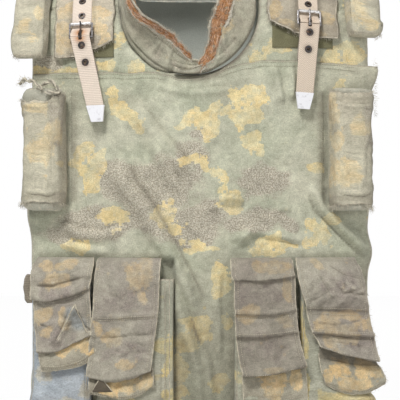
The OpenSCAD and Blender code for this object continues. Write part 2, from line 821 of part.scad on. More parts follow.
// Webbing that wraps the lower bar and is sewn to the chest above the yoke seam
module buckle_stub(i) {
    x = strap_x[i];
    bar = bar_middle(i);
    low_h = i == 0 ? flap_left_h : flap_right_h;
    // Height above the cloth of the webbing's back, from the bar down to the sewn end
    route = [
        [bar.z + 0.6, undef], [bar.z - 5, undef], [low_h + 4, flap_n1 + gap],
        [low_h - 5, flap_n1 + gap - 0.6], [low_h - 16, patch_n + gap], [yoke_h[i] + 1.5, patch_n + gap]];
    rings = [for (r = route)
        let (
            face = (bar.y - face_y(x, r[0])) / cos(tilt(x)),
            n = r[1] == undef ? -wrap_r : face + r[1],
            z = r[0] - bar.z,
            s = i == 0 ? -0.2 * min(0, z + 8) : 0
        )
        [[s - stub_w / 2, -n, z], [s + stub_w / 2, -n, z], [s + stub_w / 2, -n - stub_t, z],
         [s - stub_w / 2, -n - stub_t, z]]];
    on_shoulders() color(webbing) at_lower_bar(i) difference() {
        union() {
            rotate([0, 90, 0]) translate([0, 0, -stub_w / 2]) cylinder(r = wrap_r, h = stub_w, $fn = 32);
            loft(turned(rings));
        }
        rotate([0, 90, 0]) translate([0, 0, -stub_w]) cylinder(r = wrap_r0, h = 2 * stub_w, $fn = 32);
        translate([-prong_slot_w / 2, -2 * wrap_r, -wrap_r - 1])
            cube([prong_slot_w, 4 * wrap_r, 2 * wrap_r + 2]);
    }
}

module buckle_stub_left() {
    buckle_stub(0);
}
module buckle_stub_right() {
    buckle_stub(1);
}

// Shoulder strap: over the shoulder, under the roller and up over the lower bar
strap_r = depth - 18 + strap_n0;
eyelet_hole_r = eyelet_r + 1;
eyelet_first = 24;
function eyelet_angle(i, k) = roll_angle(strap_x[i], buckle_h[i])
    + (eyelet_first + k * eyelet_pitch) / strap_r * 180 / PI;

module on_roll(x, a) {
    translate([0, 0, roll_h]) rotate([-a, 0, 0]) translate([x, bow_y(x), 0])
        rotate([0, 0, tilt(x)]) children();
}

module eyelet_hole() {
    translate([0, 1, 0]) rotate([90, 0, 0]) cylinder(r = eyelet_hole_r, h = 14, $fn = 32);
}

// An eyelet through webbing whose back face lies at n: a barrel and a flange
module eyelet(n) {
    translate([0, -n, 0]) rotate([90, 0, 0]) rotate_extrude($fn = 48) polygon([
        [eyelet_r, 0], [eyelet_hole_r - 0.1, 0], [eyelet_hole_r - 0.1, web_t + 0.2],
        [eyelet_flange_r, web_t + 0.2], [eyelet_flange_r - 0.3, web_t + 0.8], [eyelet_r, web_t + 0.8]]);
}

module shoulder_strap(i) {
    x = strap_x[i];
    half = bar_space / 2;
    sag = function (z) z * z / (2 * strap_r);
    join = half + roller_r + 2.2;
    a0 = roll_angle(x, buckle_h[i]) + (join - 1) / strap_r * 180 / PI;
    end_z = -half + 1.4;
    low = [[strap_n0 - 0.15 - sag(join), join], [strap_n0 - 0.15 - sag(half), half],
        [strap_n0 - 0.1, half - 6], [bar_n + over_n, -half + 3.4], [bar_n + over_n, end_z]];
    high = [[bar_n + over_n + web_t, end_z], [bar_n + over_n + web_t, -half + 4.6],
        [strap_n1 + 0.1, half - 4.8], [strap_n1 + 0.15 - sag(half), half],
        [strap_n1 + 0.15 - sag(join), join]];
    outline = [for (p = concat(low, high)) [-p.x, p.y]];
    on_shoulders() color(webbing) difference() {
        union() {
            rolled(-strap_n1, -strap_n0, x - web_w / 2, x + web_w / 2, a0, 89.8);
            at_buckle(i) translate([-web_w / 2, 0, 0]) rotate([90, 0, 90])
                linear_extrude(web_w) polygon(outline);
        }
        for (k = [0:2]) on_roll(x, eyelet_angle(i, k)) eyelet_hole();
        at_buckle(i) translate([-prong_slot_w / 2, -bar_n - 2 * over_n - web_t, -half - 1])
            cube([prong_slot_w, 2 * over_n + web_t + 4, 11.5]);
    }
}

module shoulder_strap_left() {
    shoulder_strap(0);
}
module shoulder_strap_right() {
    shoulder_strap(1);
}

module strap_eyelets() {
    on_shoulders() color(worn_steel) for (i = [0, 1]) for (k = [0:2])
        on_roll(strap_x[i], eyelet_angle(i, k)) eyelet(strap_n0);
}

// Loose end of a strap, which hangs from the fold over the lower bar
tail_drop = 0.7;
tail_eyelet_z = [-12, -12 - eyelet_pitch];
function tail_shift(i, z) = -z / tail_l * lean[i];

module strap_tail(i) {
    half = web_w / 2;
    foot = half - 1.6;
    on_shoulders() color(webbing) at_lower_bar(i) difference() {
        translate([0, -over_n, 0]) rotate([90, 0, 0]) linear_extrude(web_t) polygon([
            [-half, -tail_drop], [half, -tail_drop], [lean[i] + foot, -tail_l],
            [lean[i] - foot, -tail_l]]);
        for (z = tail_eyelet_z) translate([tail_shift(i, z), -over_n + 1, z]) eyelet_hole();
    }
}

module tail_eyelets(i) {
    on_shoulders() color(worn_steel) at_lower_bar(i)
        for (z = tail_eyelet_z) translate([tail_shift(i, z), 0, z]) eyelet(over_n);
}

// Stiff tip, one plate folded over the end of the webbing
module strap_tip(i) {
    half = web_w / 2 - 2.4;
    narrow = tip_l * 0.16;
    over = 3;
    skin_t = 0.7;
    on_shoulders() color(tip_white) at_lower_bar(i) difference() {
        translate([0, skin_t + 0.2 - over_n, 0]) rotate([90, 0, 0])
            linear_extrude(web_t + 2 * skin_t + 0.4) polygon([
                [lean[i] - half - 1.4, -tail_l + over], [lean[i] + half + 1.4, -tail_l + over],
                [lean[i] * 1.1 + half - narrow, -tail_l - tip_l],
                [lean[i] * 1.1 - half + narrow, -tail_l - tip_l]]);
        translate([lean[i] - web_w, -over_n - web_t - 0.2, -tail_l - 0.4])
            cube([2 * web_w, web_t + 0.4, over + 2]);
    }
}

module strap_tail_left() {
    strap_tail(0);
}
module strap_tail_right() {
    strap_tail(1);
}
module strap_tip_left() {
    strap_tip(0);
}
module strap_tip_right() {
    strap_tip(1);
}
module tail_eyelets_left() {
    tail_eyelets(0);
}
module tail_eyelets_right() {
    tail_eyelets(1);
}

// Collar: a padded band that stands on the neck edge, worn open along its own edge
fold_h = roll_h + depth + fold_rise;
collar_in = collar_t / 2;
// Clearance of the foot's tip where the two halves meet
tip_gap = 0.5;
round_part = 0.62;

// Middle of the collar's foot, with side -1 for the left half and 1 for the right one
function foot(side, start, t) =
    let (
        b = mix(start, 90, min(1, t / round_part)),
        r = neck_r - mix(tip_gap, collar_in, smooth(abs(b) / 60)),
        x = neck_x + side * r * sin(b),
        z = neck_h - r * cos(b),
        top = length_at(x, neck_h),
        l = t < round_part ? length_at(x, z)
            : mix(top, roll_h + roll_l * 0.985, (t - round_part) / (1 - round_part)),
        n = mix(side > 0 ? 3 : -13, -6, smooth(t / 0.4))
    )
    skin(x, n, l);

// The left half stands; the right one, worn limp, leans well in over the opening
function lean_in(side, t) = side > 0
    ? mix(24, 64, smooth(t / 0.3)) * (1 - 0.9 * smooth((t - 0.66) / 0.3))
    : 16 + 42 * bump(t, 0.36, 0.24) - 8 * t;
// Beside the neck the left half stands out to the front
stand_out = 1.6;
function to_front(side, t) = side > 0 ? 0 : stand_out * bump(t, 0.58, 0.15);
function up_dir(side, t) =
    let (a = lean_in(side, t))
    [-side * sin(a), 0.12 * smooth(t) - to_front(side, t), cos(a)];
// Height of the band, which stays below the line that the shoulders fold along
fold_room = 4;
function lower_of(a, b) = a * b / pow(pow(a, 6) + pow(b, 6), 1 / 6);
function band_w(side, start, t) =
    let (
        free = side > 0 ? mix(7, collar_w + limp_w, smooth((t - 0.04) / 0.4))
            : mix(20, collar_w, smooth(t / 0.3)),
        room = fold_h - foot(side, start, t).z - fold_room
    )
    lower_of(free, room);

function collar_ring(side, start, t, w0, w1, thick, points) =
    let (
        p = foot(side, start, t),
        along = unit(foot(side, start, min(1, t + 0.01)) - foot(side, start, max(0, t - 0.01))),
        up = unit(up_dir(side, t) - (up_dir(side, t) * along) * along),
        out = unit(cross(along, up)),
        mid = (w0 + w1) / 2,
        half = (w1 - w0) / 2
    )
    [for (i = [0:points - 1]) let (a = 360 * i / points)
        p + up * (mid - half * spow(cos(a), 0.75)) + out * thick / 2 * side * spow(sin(a), 0.75)];

collar_start = [-20, -14];
collar_steps = 19;
module collar(side) {
    start = collar_start[side > 0 ? 1 : 0];
    rings = [for (k = [0:collar_steps]) let (t = k / collar_steps)
        collar_ring(side, start, t, 0, band_w(side, start, t) - filling_w * 0.6,
                    collar_t * (k == 0 || k == collar_steps ? 0.6 : 1), 12)];
    loft(side > 0 ? rings : turned(rings));
}

module collar_left() {
    on_shoulders() color(grey_green) collar(-1);
}
module collar_right() {
    on_shoulders() color(grey_green) collar(1);
}

module collar_filling() {
    on_shoulders() color(filling) for (side = [-1, 1]) {
        start = collar_start[side > 0 ? 1 : 0];
        rings = [for (k = [1:collar_steps - 1]) let (t = k / collar_steps, w = band_w(side, start, t))
            collar_ring(side, start, t, w - filling_w * 0.6 + gap, w + filling_w * 0.4,
                        collar_t * 0.7, 8)];
        loft(side > 0 ? rings : turned(rings));
    }
}

// Back collar, along the nape edge from shoulder to shoulder
module back_collar() {
    steps = 24;
    half_x = neck_r - collar_in;
    back_y = -face_y(neck_x, nape_h) - collar_in - 1;
    path = function (t) let (a = mix(-89.3, 89.3, t))
        [neck_x + half_x * spow(sin(a), 0.62), back_y * spow(cos(a), 0.62)];
    foot_at = function (t) let (p = path(t))
        [p.x, p.y + 0.9, roll_h + sqrt(max(1, pow(bow_y(p.x), 2) - p.y * p.y)) - 5];
    on_shoulders() color(grey_green) loft(turned([for (k = [0:steps]) let (
            t = k / steps,
            p = foot_at(t),
            d = unit(path(min(1, t + 0.01)) - path(max(0, t - 0.01))),
            out = [-d.y, d.x, 0],
            room = fold_h - p.z - fold_room,
            w = mix(room, collar_w - 4, smooth(sin(180 * t) * 1.5)),
            thick = collar_t * (k == 0 || k == steps ? 0.6 : 1)
        )
        [for (i = [0:11]) let (a = 360 * i / 12)
            p + [0, 0, w / 2 * (1 - spow(cos(a), 0.75))] + out * thick / 2 * spow(sin(a), 0.75)]]));
}

// Side wings of the back, tucked in behind the front panel's edges
wing_t0 = lining_t1 + 3 * gap + 2 * strip_t;
wing_wall_x = panel_w / 2 - 12;
wing_bulge_r = 240;
wing_middle_x = wing_wall_x + wing_t - wing_bulge_r;
// Line that a wing folds along, its rounded rear end's middle, close to the back's lining
wing_axis_y = sqrt(pow(bow_r - lining_t1, 2) - pow(wing_wall_x + 2, 2)) - bow_r + depth
    - wing_t / 2 - 2 * gap;
wing_axis_x = wing_middle_x + sqrt(pow(wing_bulge_r - wing_t / 2, 2) - pow(wing_axis_y, 2));

wing_front_y = wing_axis_y + 2;

module wing_outline() {
    bow(wing_t0, wing_t0 + wing_t, wing_end_x, wing_wall_x + 2);
    intersection() {
        difference() {
            translate([wing_middle_x, 0]) circle(r = wing_bulge_r, $fn = big_fn);
            translate([wing_middle_x, 0]) circle(r = wing_bulge_r - wing_t, $fn = big_fn);
        }
        translate([wing_wall_x - 20, -wing_front_y]) square([40, wing_front_y + wing_axis_y]);
    }
    translate([wing_axis_x, wing_axis_y]) circle(r = wing_t / 2, $fn = 32);
}

module wing_right() {
    on_shoulders() color(sage) translate([0, 0, wing_base]) linear_extrude(wing_h) wing_outline();
}
module wing_left() {
    mirror([1, 0, 0]) wing_right();
}

module wing_strip_right() {
    t0 = wing_t0 - gap - strip_t;
    a0 = arc_at(wing_end_x) + wing_strip_edge;
    on_shoulders() color(olive) block(t0, t0 + strip_t, a0, a0 + wing_strip_w,
                                      wing_base + wing_strip_edge, wing_base + wing_h - wing_strip_edge);
}
module wing_strip_left() {
    mirror([1, 0, 0]) wing_strip_right();
}

module side_loop_strips() {
    t0 = lining_t1 + gap;
    edge = wing_strip_edge / 2;
    a0 = arc_at(wing_end_x) + edge;
    on_shoulders() color(olive) for (side = [0, 1]) mirror([side, 0, 0])
        block(t0, t0 + strip_t, a0, a0 + wing_strip_w + wing_strip_edge,
              wing_base + edge, wing_base + wing_h - edge);
}

// Webbing loop on the left edge of the front
loop_out = 9;
loop_t = 1.8;
module side_loop() {
    x = -panel_w / 2 - gap;
    y = bow_y(x) + rim_t / 2;
    on_shoulders() color(grey_green) translate([x - loop_out, y - loop_out / 2, loop_base])
        difference() {
            cube([loop_out, loop_out, loop_h]);
            translate([loop_t, loop_t, -1]) cube([loop_out - 2 * loop_t, loop_out - 2 * loop_t, loop_h + 2]);
        }
}

front_cover();
front_lining();
front_ballistic_pack();
front_plate_pockets();
front_plates();
chest_pocket_cloth();
collar_left();
collar_right();
collar_filling();
side_roll_sleeve_left();
side_roll_sleeve_right();
side_roll_core_left();
side_roll_core_right();
shoulder_roll_left();
shoulder_roll_right();
shoulder_flap_left();
shoulder_flap_right();
loop_patches();
shoulder_strap_left();
shoulder_strap_right();
strap_eyelets();
buckle_stub_left();
buckle_stub_right();
buckle_frame_left();
buckle_frame_right();
buckle_roller_left();
buckle_roller_right();
side_loop();
pouch_left_outer();
pouch_left_inner();
pouch_right_inner();
pouch_right_outer();
pouch_loop_strips();
side_loop_strips();
back_cover();
back_lining();
back_ballistic_pack();
back_plate_pockets();
back_plates();
back_collar();
flap_left_outer();
flap_left_inner();
flap_right_inner();
flap_right_outer();
flap_strip_left_outer();
flap_strip_left_inner();
flap_strip_right_inner();
flap_strip_right_outer();
strap_tail_left();
strap_tail_right();
strap_tip_left();
strap_tip_right();
tail_eyelets_left();
tail_eyelets_right();
buckle_prong_left();
buckle_prong_right();
wing_left();
wing_right();
wing_strip_left();
wing_strip_right();
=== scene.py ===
import math
import bpy
import numpy as np
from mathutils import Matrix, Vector


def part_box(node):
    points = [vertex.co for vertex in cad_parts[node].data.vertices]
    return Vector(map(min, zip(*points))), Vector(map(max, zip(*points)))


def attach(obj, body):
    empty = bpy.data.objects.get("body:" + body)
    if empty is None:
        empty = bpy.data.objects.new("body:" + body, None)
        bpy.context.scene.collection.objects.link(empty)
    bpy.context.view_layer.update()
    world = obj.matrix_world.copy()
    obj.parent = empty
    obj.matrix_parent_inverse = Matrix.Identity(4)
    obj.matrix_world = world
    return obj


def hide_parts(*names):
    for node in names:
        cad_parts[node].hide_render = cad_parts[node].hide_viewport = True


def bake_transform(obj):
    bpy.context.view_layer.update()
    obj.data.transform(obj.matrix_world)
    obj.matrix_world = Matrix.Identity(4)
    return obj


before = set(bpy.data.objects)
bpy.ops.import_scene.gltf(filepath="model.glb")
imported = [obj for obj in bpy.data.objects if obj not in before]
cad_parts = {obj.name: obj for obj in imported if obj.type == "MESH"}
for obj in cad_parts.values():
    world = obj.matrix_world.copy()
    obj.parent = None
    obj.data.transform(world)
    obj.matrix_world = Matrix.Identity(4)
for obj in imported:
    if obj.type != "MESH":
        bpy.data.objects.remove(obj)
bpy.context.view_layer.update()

# Sizes of the vest, in metres, as in the part's source
LOW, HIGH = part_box("front_cover")
DEPTH = -LOW.y
REST_H = -LOW.z
HALF_W = HIGH.x
BOW_R = 0.8
REST_X = 0.18
LINING_N = 0.0222
RIM_T = 0.0212
ROLL_H = REST_H + BOW_R - math.sqrt(BOW_R ** 2 - REST_X ** 2) - DEPTH + 0.0229
ROLL_L = DEPTH * math.pi / 2
NECK_X, NECK_R = -0.015, 0.103
NECK_H, NAPE_H, NAPE_R = ROLL_H + 0.055, ROLL_H + 0.078, 0.03
FOLD_H = ROLL_H + DEPTH + 0.003
YOKE_LEFT, YOKE_RIGHT = ROLL_H - 0.045, ROLL_H - 0.027
CHEST_N = 0.0015
ROOT_H, POUCH_W, POUCH_N0, POUCH_N1 = 0.242, 0.088, 0.0018, 0.0218
POUCH_BASE, POUCH_TOP = 0.008, 0.212
POUCH_X = (-0.240, -0.146, 0.048, 0.142)
FLAP_L = (0.122, 0.165, 0.158, 0.142)
STRAP_X, BUCKLE_H = (-0.171, 0.157), (ROLL_H + 0.015, ROLL_H + 0.032)
LEAN = (0.020, -0.002)
WEB_W, WEB_T, STUB_T = 0.029, 0.0022, 0.0018
STRAP_N0, BAR_SPACE, BAR_N, OVER_N, WRAP_R = 0.0055, 0.020, 0.011, 0.0038, 0.0034
TAIL_L, TAIL_EYELETS = 0.103, (-0.012, -0.037)
SIDES = ("left", "right")
POUCHES = ("left_outer", "left_inner", "right_inner", "right_outer")
GUSSET_W = 0.022
POUCH_WIDE = tuple(POUCH_W + (GUSSET_W if key == "left_inner" else 0) for key in POUCHES)
# Most that a worn edge wanders inwards, over the pack inside it, and deepest hollow over the plate pockets
EDGE_IN, HOLLOW = 0.0006, 0.0005
# Radii of threads: seams, heavy seams, and thin, middling and thick loose ones
SEAM_R, HEAVY_R, THIN_R, LOOSE_R, THICK_R = 0.00034, 0.00045, 0.00018, 0.0002, 0.00022


# --- Surface of the panels ---
def tilt(x):
    return np.arcsin(x / BOW_R)


def bow_y(x):
    return BOW_R - DEPTH - np.sqrt(BOW_R ** 2 - x * x)


def skin(x, l, n=0.0, back=False):
    """Point n above the cloth, x across and l along it from the hem."""
    x, l, n = np.broadcast_arrays(*(np.asarray(v, float) for v in (x, l, n)))
    y = bow_y(x) - n * np.cos(tilt(x))
    a = np.clip(l - ROLL_H, 0, ROLL_L * 0.998) / DEPTH
    p = stack(x + n * np.sin(tilt(x)), y * np.cos(a), np.minimum(l, ROLL_H) - y * np.sin(a) - REST_H)
    return p * ([1, -1, 1] if back else [1, 1, 1])


def length_at(x, h):
    """Length along the cloth at height h above the hem."""
    a = np.arcsin(np.clip((h - ROLL_H) / -bow_y(x), 0, 1))
    return np.where(h < ROLL_H, h, ROLL_H + DEPTH * a)


def roll_angle(x, h):
    return 0.0 if h < ROLL_H else math.asin(min(1, (h - ROLL_H) / -float(bow_y(x))))


def turn(axis, a):
    m = np.eye(4)
    i, j = {"x": (1, 2), "y": (2, 0), "z": (0, 1)}[axis]
    m[i, i] = m[j, j] = math.cos(a)
    m[i, j], m[j, i] = -math.sin(a), math.sin(a)
    return m


def shift(x, y, z):
    m = np.eye(4)
    m[:3, 3] = x, y, z
    return m


def on_roll(x, a, h=ROLL_H):
    """Frame on the outer face: X along the cloth, -Y outward, Z up the cloth."""
    return (shift(0, 0, min(h, ROLL_H) - REST_H) @ turn("x", -a) @ shift(x, float(bow_y(x)), 0)
            @ turn("z", float(tilt(x))))


def on_face(x, h):
    return on_roll(x, roll_angle(x, h), h)


def lower_bar(i):
    x, t, a = STRAP_X[i], float(tilt(STRAP_X[i])), roll_angle(STRAP_X[i], BUCKLE_H[i])
    y, z = float(bow_y(x)) - BAR_N * math.cos(t), -BAR_SPACE / 2
    at = (x + BAR_N * math.sin(t), y * math.cos(a) + z * math.sin(a),
          ROLL_H - y * math.sin(a) + z * math.cos(a) - REST_H)
    return (shift(*at) @ turn("z", math.atan2(math.sin(t) * math.cos(a), math.cos(t)))
            @ turn("y", math.asin(math.sin(t) * math.sin(a))))


def place(m, p):
    return np.asarray(p, float) @ m[:3, :3].T + m[:3, 3]


# --- Numbers: smooth steps, splines, noise, folds ---
def stack(*parts):
    """Arrays, brought to one shape, as the coordinates of points."""
    return np.stack(np.broadcast_arrays(*parts), -1)


def run_of(p):
    """Length along a line of points."""
    return np.concatenate([[0], np.cumsum(np.linalg.norm(np.diff(p, axis=0), axis=1))])


def unit(v, least=0.0):
    return v / (np.linalg.norm(v, axis=-1, keepdims=True) + least)


def by_edge(d, reach):
    """1 at distance 0, falling evenly to 0 at the reach."""
    return np.clip(1 - d / reach, 0, 1)


def smooth(t):
    s = np.clip(t, 0, 1)
    return s * s * (3 - 2 * s)


def bump(t, c, w):
    return np.exp(-((t - c) / w) ** 2)


def spow(v, e):
    return np.sign(v) * np.abs(v) ** e


def spline(c, t):
    """Smooth curve through the rows of c, t from 0 to 1."""
    c = np.asarray(c, float)
    s = np.clip(np.asarray(t, float) * (len(c) - 1), 0, len(c) - 1 - 1e-9)
    i = s.astype(int)
    f = (s - i).reshape(s.shape + (1,) * (c.ndim - 1))
    p = np.concatenate([2 * c[:1] - c[1:2], c, 2 * c[-1:] - c[-2:-1]])
    a, b, d, e = p[i], p[i + 1], p[i + 2], p[i + 3]
    return (0.5 * (2 * b + (d - a) * f + (2 * a - 5 * b + 4 * d - e) * f ** 2
                   + (3 * b - a - 3 * d + e) * f ** 3))


def net(rows, nu, nv):
    """Surface through a net of points: rows down, columns across."""
    down = spline(rows, np.linspace(0, 1, nv)).swapaxes(0, 1)
    return spline(down, np.linspace(0, 1, nu)).swapaxes(0, 1)


def noise(u, v, size, seed, octaves=3):
    """Seeded smooth noise from about -1 to 1, its first cell of the given size."""
    total, gain = 0.0, 1.0
    for k in range(octaves):
        g = np.random.default_rng(seed + k).uniform(-1, 1, (64, 64))
        a, b = u / size * 2 ** k + 20.3, v / size * 2 ** k + 17.7
        i, j = np.floor(a).astype(int), np.floor(b).astype(int)
        s, t = smooth(a - i), smooth(b - j)
        i0, i1, j0, j1 = i % 64, (i + 1) % 64, j % 64, (j + 1) % 64
        total = total + gain * ((g[i0, j0] * (1 - s) + g[i1, j0] * s) * (1 - t)
                                + (g[i0, j1] * (1 - s) + g[i1, j1] * s) * t)
        gain *= 0.5
    return total


def along(x, z, points):
    """Nearest place on a polyline: distance to its left or right side, and 0 to 1 along it."""
    best, side, t = np.full(np.shape(x), 9.0), np.zeros(np.shape(x)), np.zeros(np.shape(x))
    p = np.asarray(points, float) / 1000
    for k in range(len(p) - 1):
        d = p[k + 1] - p[k]
        f = np.clip(((x - p[k, 0]) * d[0] + (z - p[k, 1]) * d[1]) / (d @ d), 0, 1)
        ex, ez = x - p[k, 0] - f * d[0], z - p[k, 1] - f * d[1]
        dist = np.hypot(ex, ez)
        near = dist < best
        best, t = np.where(near, dist, best), np.where(near, (k + f) / (len(p) - 1), t)
        side = np.where(near, np.sign(ex * d[1] - ez * d[0]) * dist, side)
    return best, side, t


def crease(x, z, points, high, width, valley=0.6):
    """Fold along a polyline (millimetres): a ridge to its right and a narrower valley on the line."""
    best, side, t = along(x, z, points)
    fade = smooth(t * 5 + 0.1) * smooth((1 - t) * 5 + 0.1)
    w = width / 1000
    ridge = bump(side, 0.8 * w, w) - valley * bump(side, -0.15 * w, 0.35 * w)
    return high / 1000 * ridge * fade * (best < 6 * w)


def blobs(x, z, spots, ragged=5.0):
    """Soft patches at (x, z, half width, half height), millimetres, from 0 to 1, with ragged outlines."""
    x, z = np.broadcast_arrays(np.asarray(x, float), np.asarray(z, float))
    total = np.zeros(np.shape(x))
    wx, wz = ragged * noise(x, z, 0.024, 301, 2), ragged * noise(x, z, 0.024, 311, 2)
    for sx, sz, w, h in spots:
        d = np.hypot((x * 1000 + wx - sx) / w, (z * 1000 + wz - sz) / h)
        total = np.maximum(total, smooth(1.6 - d))
    return total


# --- Meshes ---
def finish_piece(name, points, faces, uvs, body, mat, attrs=None):
    mesh = bpy.data.meshes.new(name)
    mesh.from_pydata(np.asarray(points, float).tolist(), [], faces)
    layer = mesh.uv_layers.new(name="metres")
    layer.data.foreach_set("uv", np.asarray(uvs, np.float32).ravel())
    mesh.polygons.foreach_set("use_smooth", np.ones(len(mesh.polygons), bool))
    for key, values in (attrs or {}).items():
        a = mesh.attributes.new(key, "FLOAT", "POINT")
        full = np.zeros(len(points), np.float32)
        values = np.asarray(values, np.float32).ravel()
        full[:len(values)] = values
        a.data.foreach_set("value", full)
    obj = bpy.data.objects.new(name, mesh)
    bpy.context.scene.collection.objects.link(obj)
    mesh.materials.append(mat)
    if isinstance(body, tuple):
        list(body)
        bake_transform(obj)
    else:
        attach(obj, body)
    return obj


def thicken(obj, thick):
    solid = obj.modifiers.new("thickness", "SOLIDIFY")
    solid.thickness, solid.offset, solid.use_even_offset = thick, 0.0, False


def surface(name, p, uv, body, mat, wrap=False, caps=False, attrs=None, keep=None, flip=False, thick=0.0):
    """Mesh from rows and columns of points. wrap closes the columns, caps close the first and last row."""
    m, n = p.shape[:2]
    cols = n if wrap else n - 1
    i, j = np.meshgrid(np.arange(m - 1), np.arange(cols), indexing="ij")
    if keep is not None:
        i, j = i[keep], j[keep]
    i, j = i.ravel(), j.ravel()
    k = (j + 1) % n
    quads = stack(i * n + j, i * n + k, (i + 1) * n + k, (i + 1) * n + j)
    w = uv.shape[1]
    flat = uv.reshape(-1, 2)
    uq = stack(i * w + j, i * w + j + 1, (i + 1) * w + j + 1, (i + 1) * w + j)
    points = p.reshape(-1, 3)
    faces, uvs = quads.tolist(), flat[uq].reshape(-1, 2)
    if caps:
        both = caps if isinstance(caps, tuple) else (True, True)
        points = np.concatenate([points, p[0].mean(0)[None]] + ([p[-1].mean(0)[None]] if both[1] else []))
        for row, mid, way in [e for e, on in zip(((0, m * n, 1), (m - 1, m * n + 1, -1)), both) if on]:
            for c in range(cols):
                a, b = row * n + c, row * n + (c + 1) % n
                faces.append([a, b, mid][::-way] if way > 0 else [a, b, mid])
                ua, ub = uv[row, c], uv[row, c + 1]
                um = (ua + ub) / 2 + [0, -0.02 * way]
                uvs = np.concatenate([uvs, np.array([ua, ub, um][::-way] if way > 0 else [ua, ub, um])])
    if flip:
        start = 0
        for q, face in enumerate(faces):
            faces[q], end = face[::-1], start + len(face)
            uvs[start:end] = uvs[start:end][::-1].copy()
            start = end
    attrs = {k: np.broadcast_to(a, (m, n)) for k, a in (attrs or {}).items()}
    obj = finish_piece(name, points, faces, uvs, body, mat, attrs)
    if thick:
        thicken(obj, thick)
    return obj


def pad(name, mid, out, half, uv, body, mat, attrs=None, flip=False):
    """Closed pad: two skins half a thickness either side of mid, joined along the edge."""
    m, n = mid.shape[:2]
    out = np.broadcast_to(out, mid.shape)
    top, low = mid + out * half[..., None], mid - out * half[..., None]
    index = np.arange(m * n).reshape(m, n)
    under = index + m * n
    under[0], under[-1], under[:, 0], under[:, -1] = index[0], index[-1], index[:, 0], index[:, -1]
    faces, uvs = [], []
    flat = uv.reshape(-1, 2)
    for idx, way in ((index, 1), (under, -1)):
        q = stack(idx[:-1, :-1], idx[:-1, 1:], idx[1:, 1:], idx[1:, :-1]).reshape(-1, 4)
        u = stack(index[:-1, :-1], index[:-1, 1:], index[1:, 1:], index[1:, :-1]).reshape(-1, 4)
        step = way if not flip else -way
        faces += q[:, ::step].tolist()
        uvs.append(flat[u[:, ::step]].reshape(-1, 2))
    points = np.concatenate([top.reshape(-1, 3), low.reshape(-1, 3)])
    both = {k: np.concatenate([np.broadcast_to(v, (m, n)).ravel()] * 2) for k, v in (attrs or {}).items()}
    used = np.unique(np.concatenate([index.ravel(), under.ravel()]))
    new = np.full(2 * m * n, -1)
    new[used] = np.arange(len(used))
    faces = [[int(new[v]) for v in f] for f in faces]
    return finish_piece(name, points[used], faces, np.concatenate(uvs), body, mat,
                        {k: v[used] for k, v in both.items()})


def edge_round(m, n, rows=3, cols=3):
    """0 on the edge of a grid, rising to 1 over the given number of cells."""
    i, j = np.meshgrid(np.arange(m), np.arange(n), indexing="ij")
    a = np.clip(np.minimum(i, m - 1 - i) / rows, 0, 1)
    b = np.clip(np.minimum(j, n - 1 - j) / cols, 0, 1)
    return np.sqrt(np.clip(1 - (1 - a) ** 2, 0, 1)) * np.sqrt(np.clip(1 - (1 - b) ** 2, 0, 1))


def tubes(name, lines, radius, body, mat, sides=4, taper=0.6):
    """Thin tubes along lines of points, as one mesh."""
    points, faces, uvs, start = [], [], [], 0
    ang = np.arange(sides) * 2 * math.pi / sides
    for line in lines:
        c = np.asarray(line, float)
        d = unit(np.gradient(c, axis=0), 1e-12)
        side = unit(np.cross(d, np.where(np.abs(d[:, 2:3]) > 0.8, [[1.0, 0, 0]], [[0, 0, 1.0]])), 1e-12)
        up = np.cross(side, d)
        k = len(c)
        r = radius * (1 - (1 - taper) * np.linspace(0, 1, k))
        ring = (c[:, None] + (side[:, None] * np.cos(ang)[None, :, None]
                              + up[:, None] * np.sin(ang)[None, :, None]) * r[:, None, None])
        points.append(ring.reshape(-1, 3))
        i, j = np.meshgrid(np.arange(k - 1), np.arange(sides), indexing="ij")
        i, j = i.ravel(), j.ravel()
        q = stack(i * sides + j, i * sides + (j + 1) % sides,
                      (i + 1) * sides + (j + 1) % sides, (i + 1) * sides + j) + start
        faces += q.tolist()
        faces += [[start + s for s in range(sides)][::-1],
                  [start + (k - 1) * sides + s for s in range(sides)]]
        uvs.append(stack(stack(j, j + 1, j + 1, j) * 0.001,
                             stack(i, i, i + 1, i + 1) * 0.002).reshape(-1, 2))
        uvs.append(np.zeros((2 * sides, 2)))
        start += k * sides
    return finish_piece(name, np.concatenate(points), faces, np.concatenate(uvs), body, mat)


def frays(name, roots, outs, body, mat, length=0.008, radius=THICK_R, count=2, seed=1, droop=0.5, steps=5):
    """Loose threads that curl away from points on an edge."""
    rng = np.random.default_rng(seed)
    lines = []
    for root, out in zip(roots, np.broadcast_to(outs, np.shape(roots))):
        for _ in range(count):
            d = np.asarray(out, float) + rng.normal(0, 0.55, 3)
            d /= np.linalg.norm(d)
            curl = rng.normal(0, 1, 3)
            long = length * rng.uniform(0.35, 1.3)
            at, line = np.asarray(root, float) + rng.normal(0, 0.0012, 3), []
            for _ in range(steps):
                line.append(at)
                at = at + d * long / steps
                d = d + curl * 0.35 * rng.uniform(0.2, 1) + np.array([0, 0, -droop]) * 0.3
                d /= np.linalg.norm(d)
            lines.append(line)
    return tubes(name, lines, radius, body, mat, sides=3, taper=0.5)


def stitches(path, pitch=0.0032, share=0.6, lift=0.0005, out=(0, -1, 0), rise=0.0):
    """Short raised stitches along a path of points, which lie rise in front of it."""
    p = np.asarray(path, float) + [0, -rise, 0]
    s = run_of(p)
    out = np.asarray(out, float)
    lines = []
    for a in np.arange(0, s[-1] - pitch, pitch):
        t = np.array([a, a + pitch * share / 2, a + pitch * share])
        q = stack(*(np.interp(t, s, p[:, k]) for k in range(3)))
        q[1] += out * lift
        lines.append(q + out * 0.0002)
    return lines


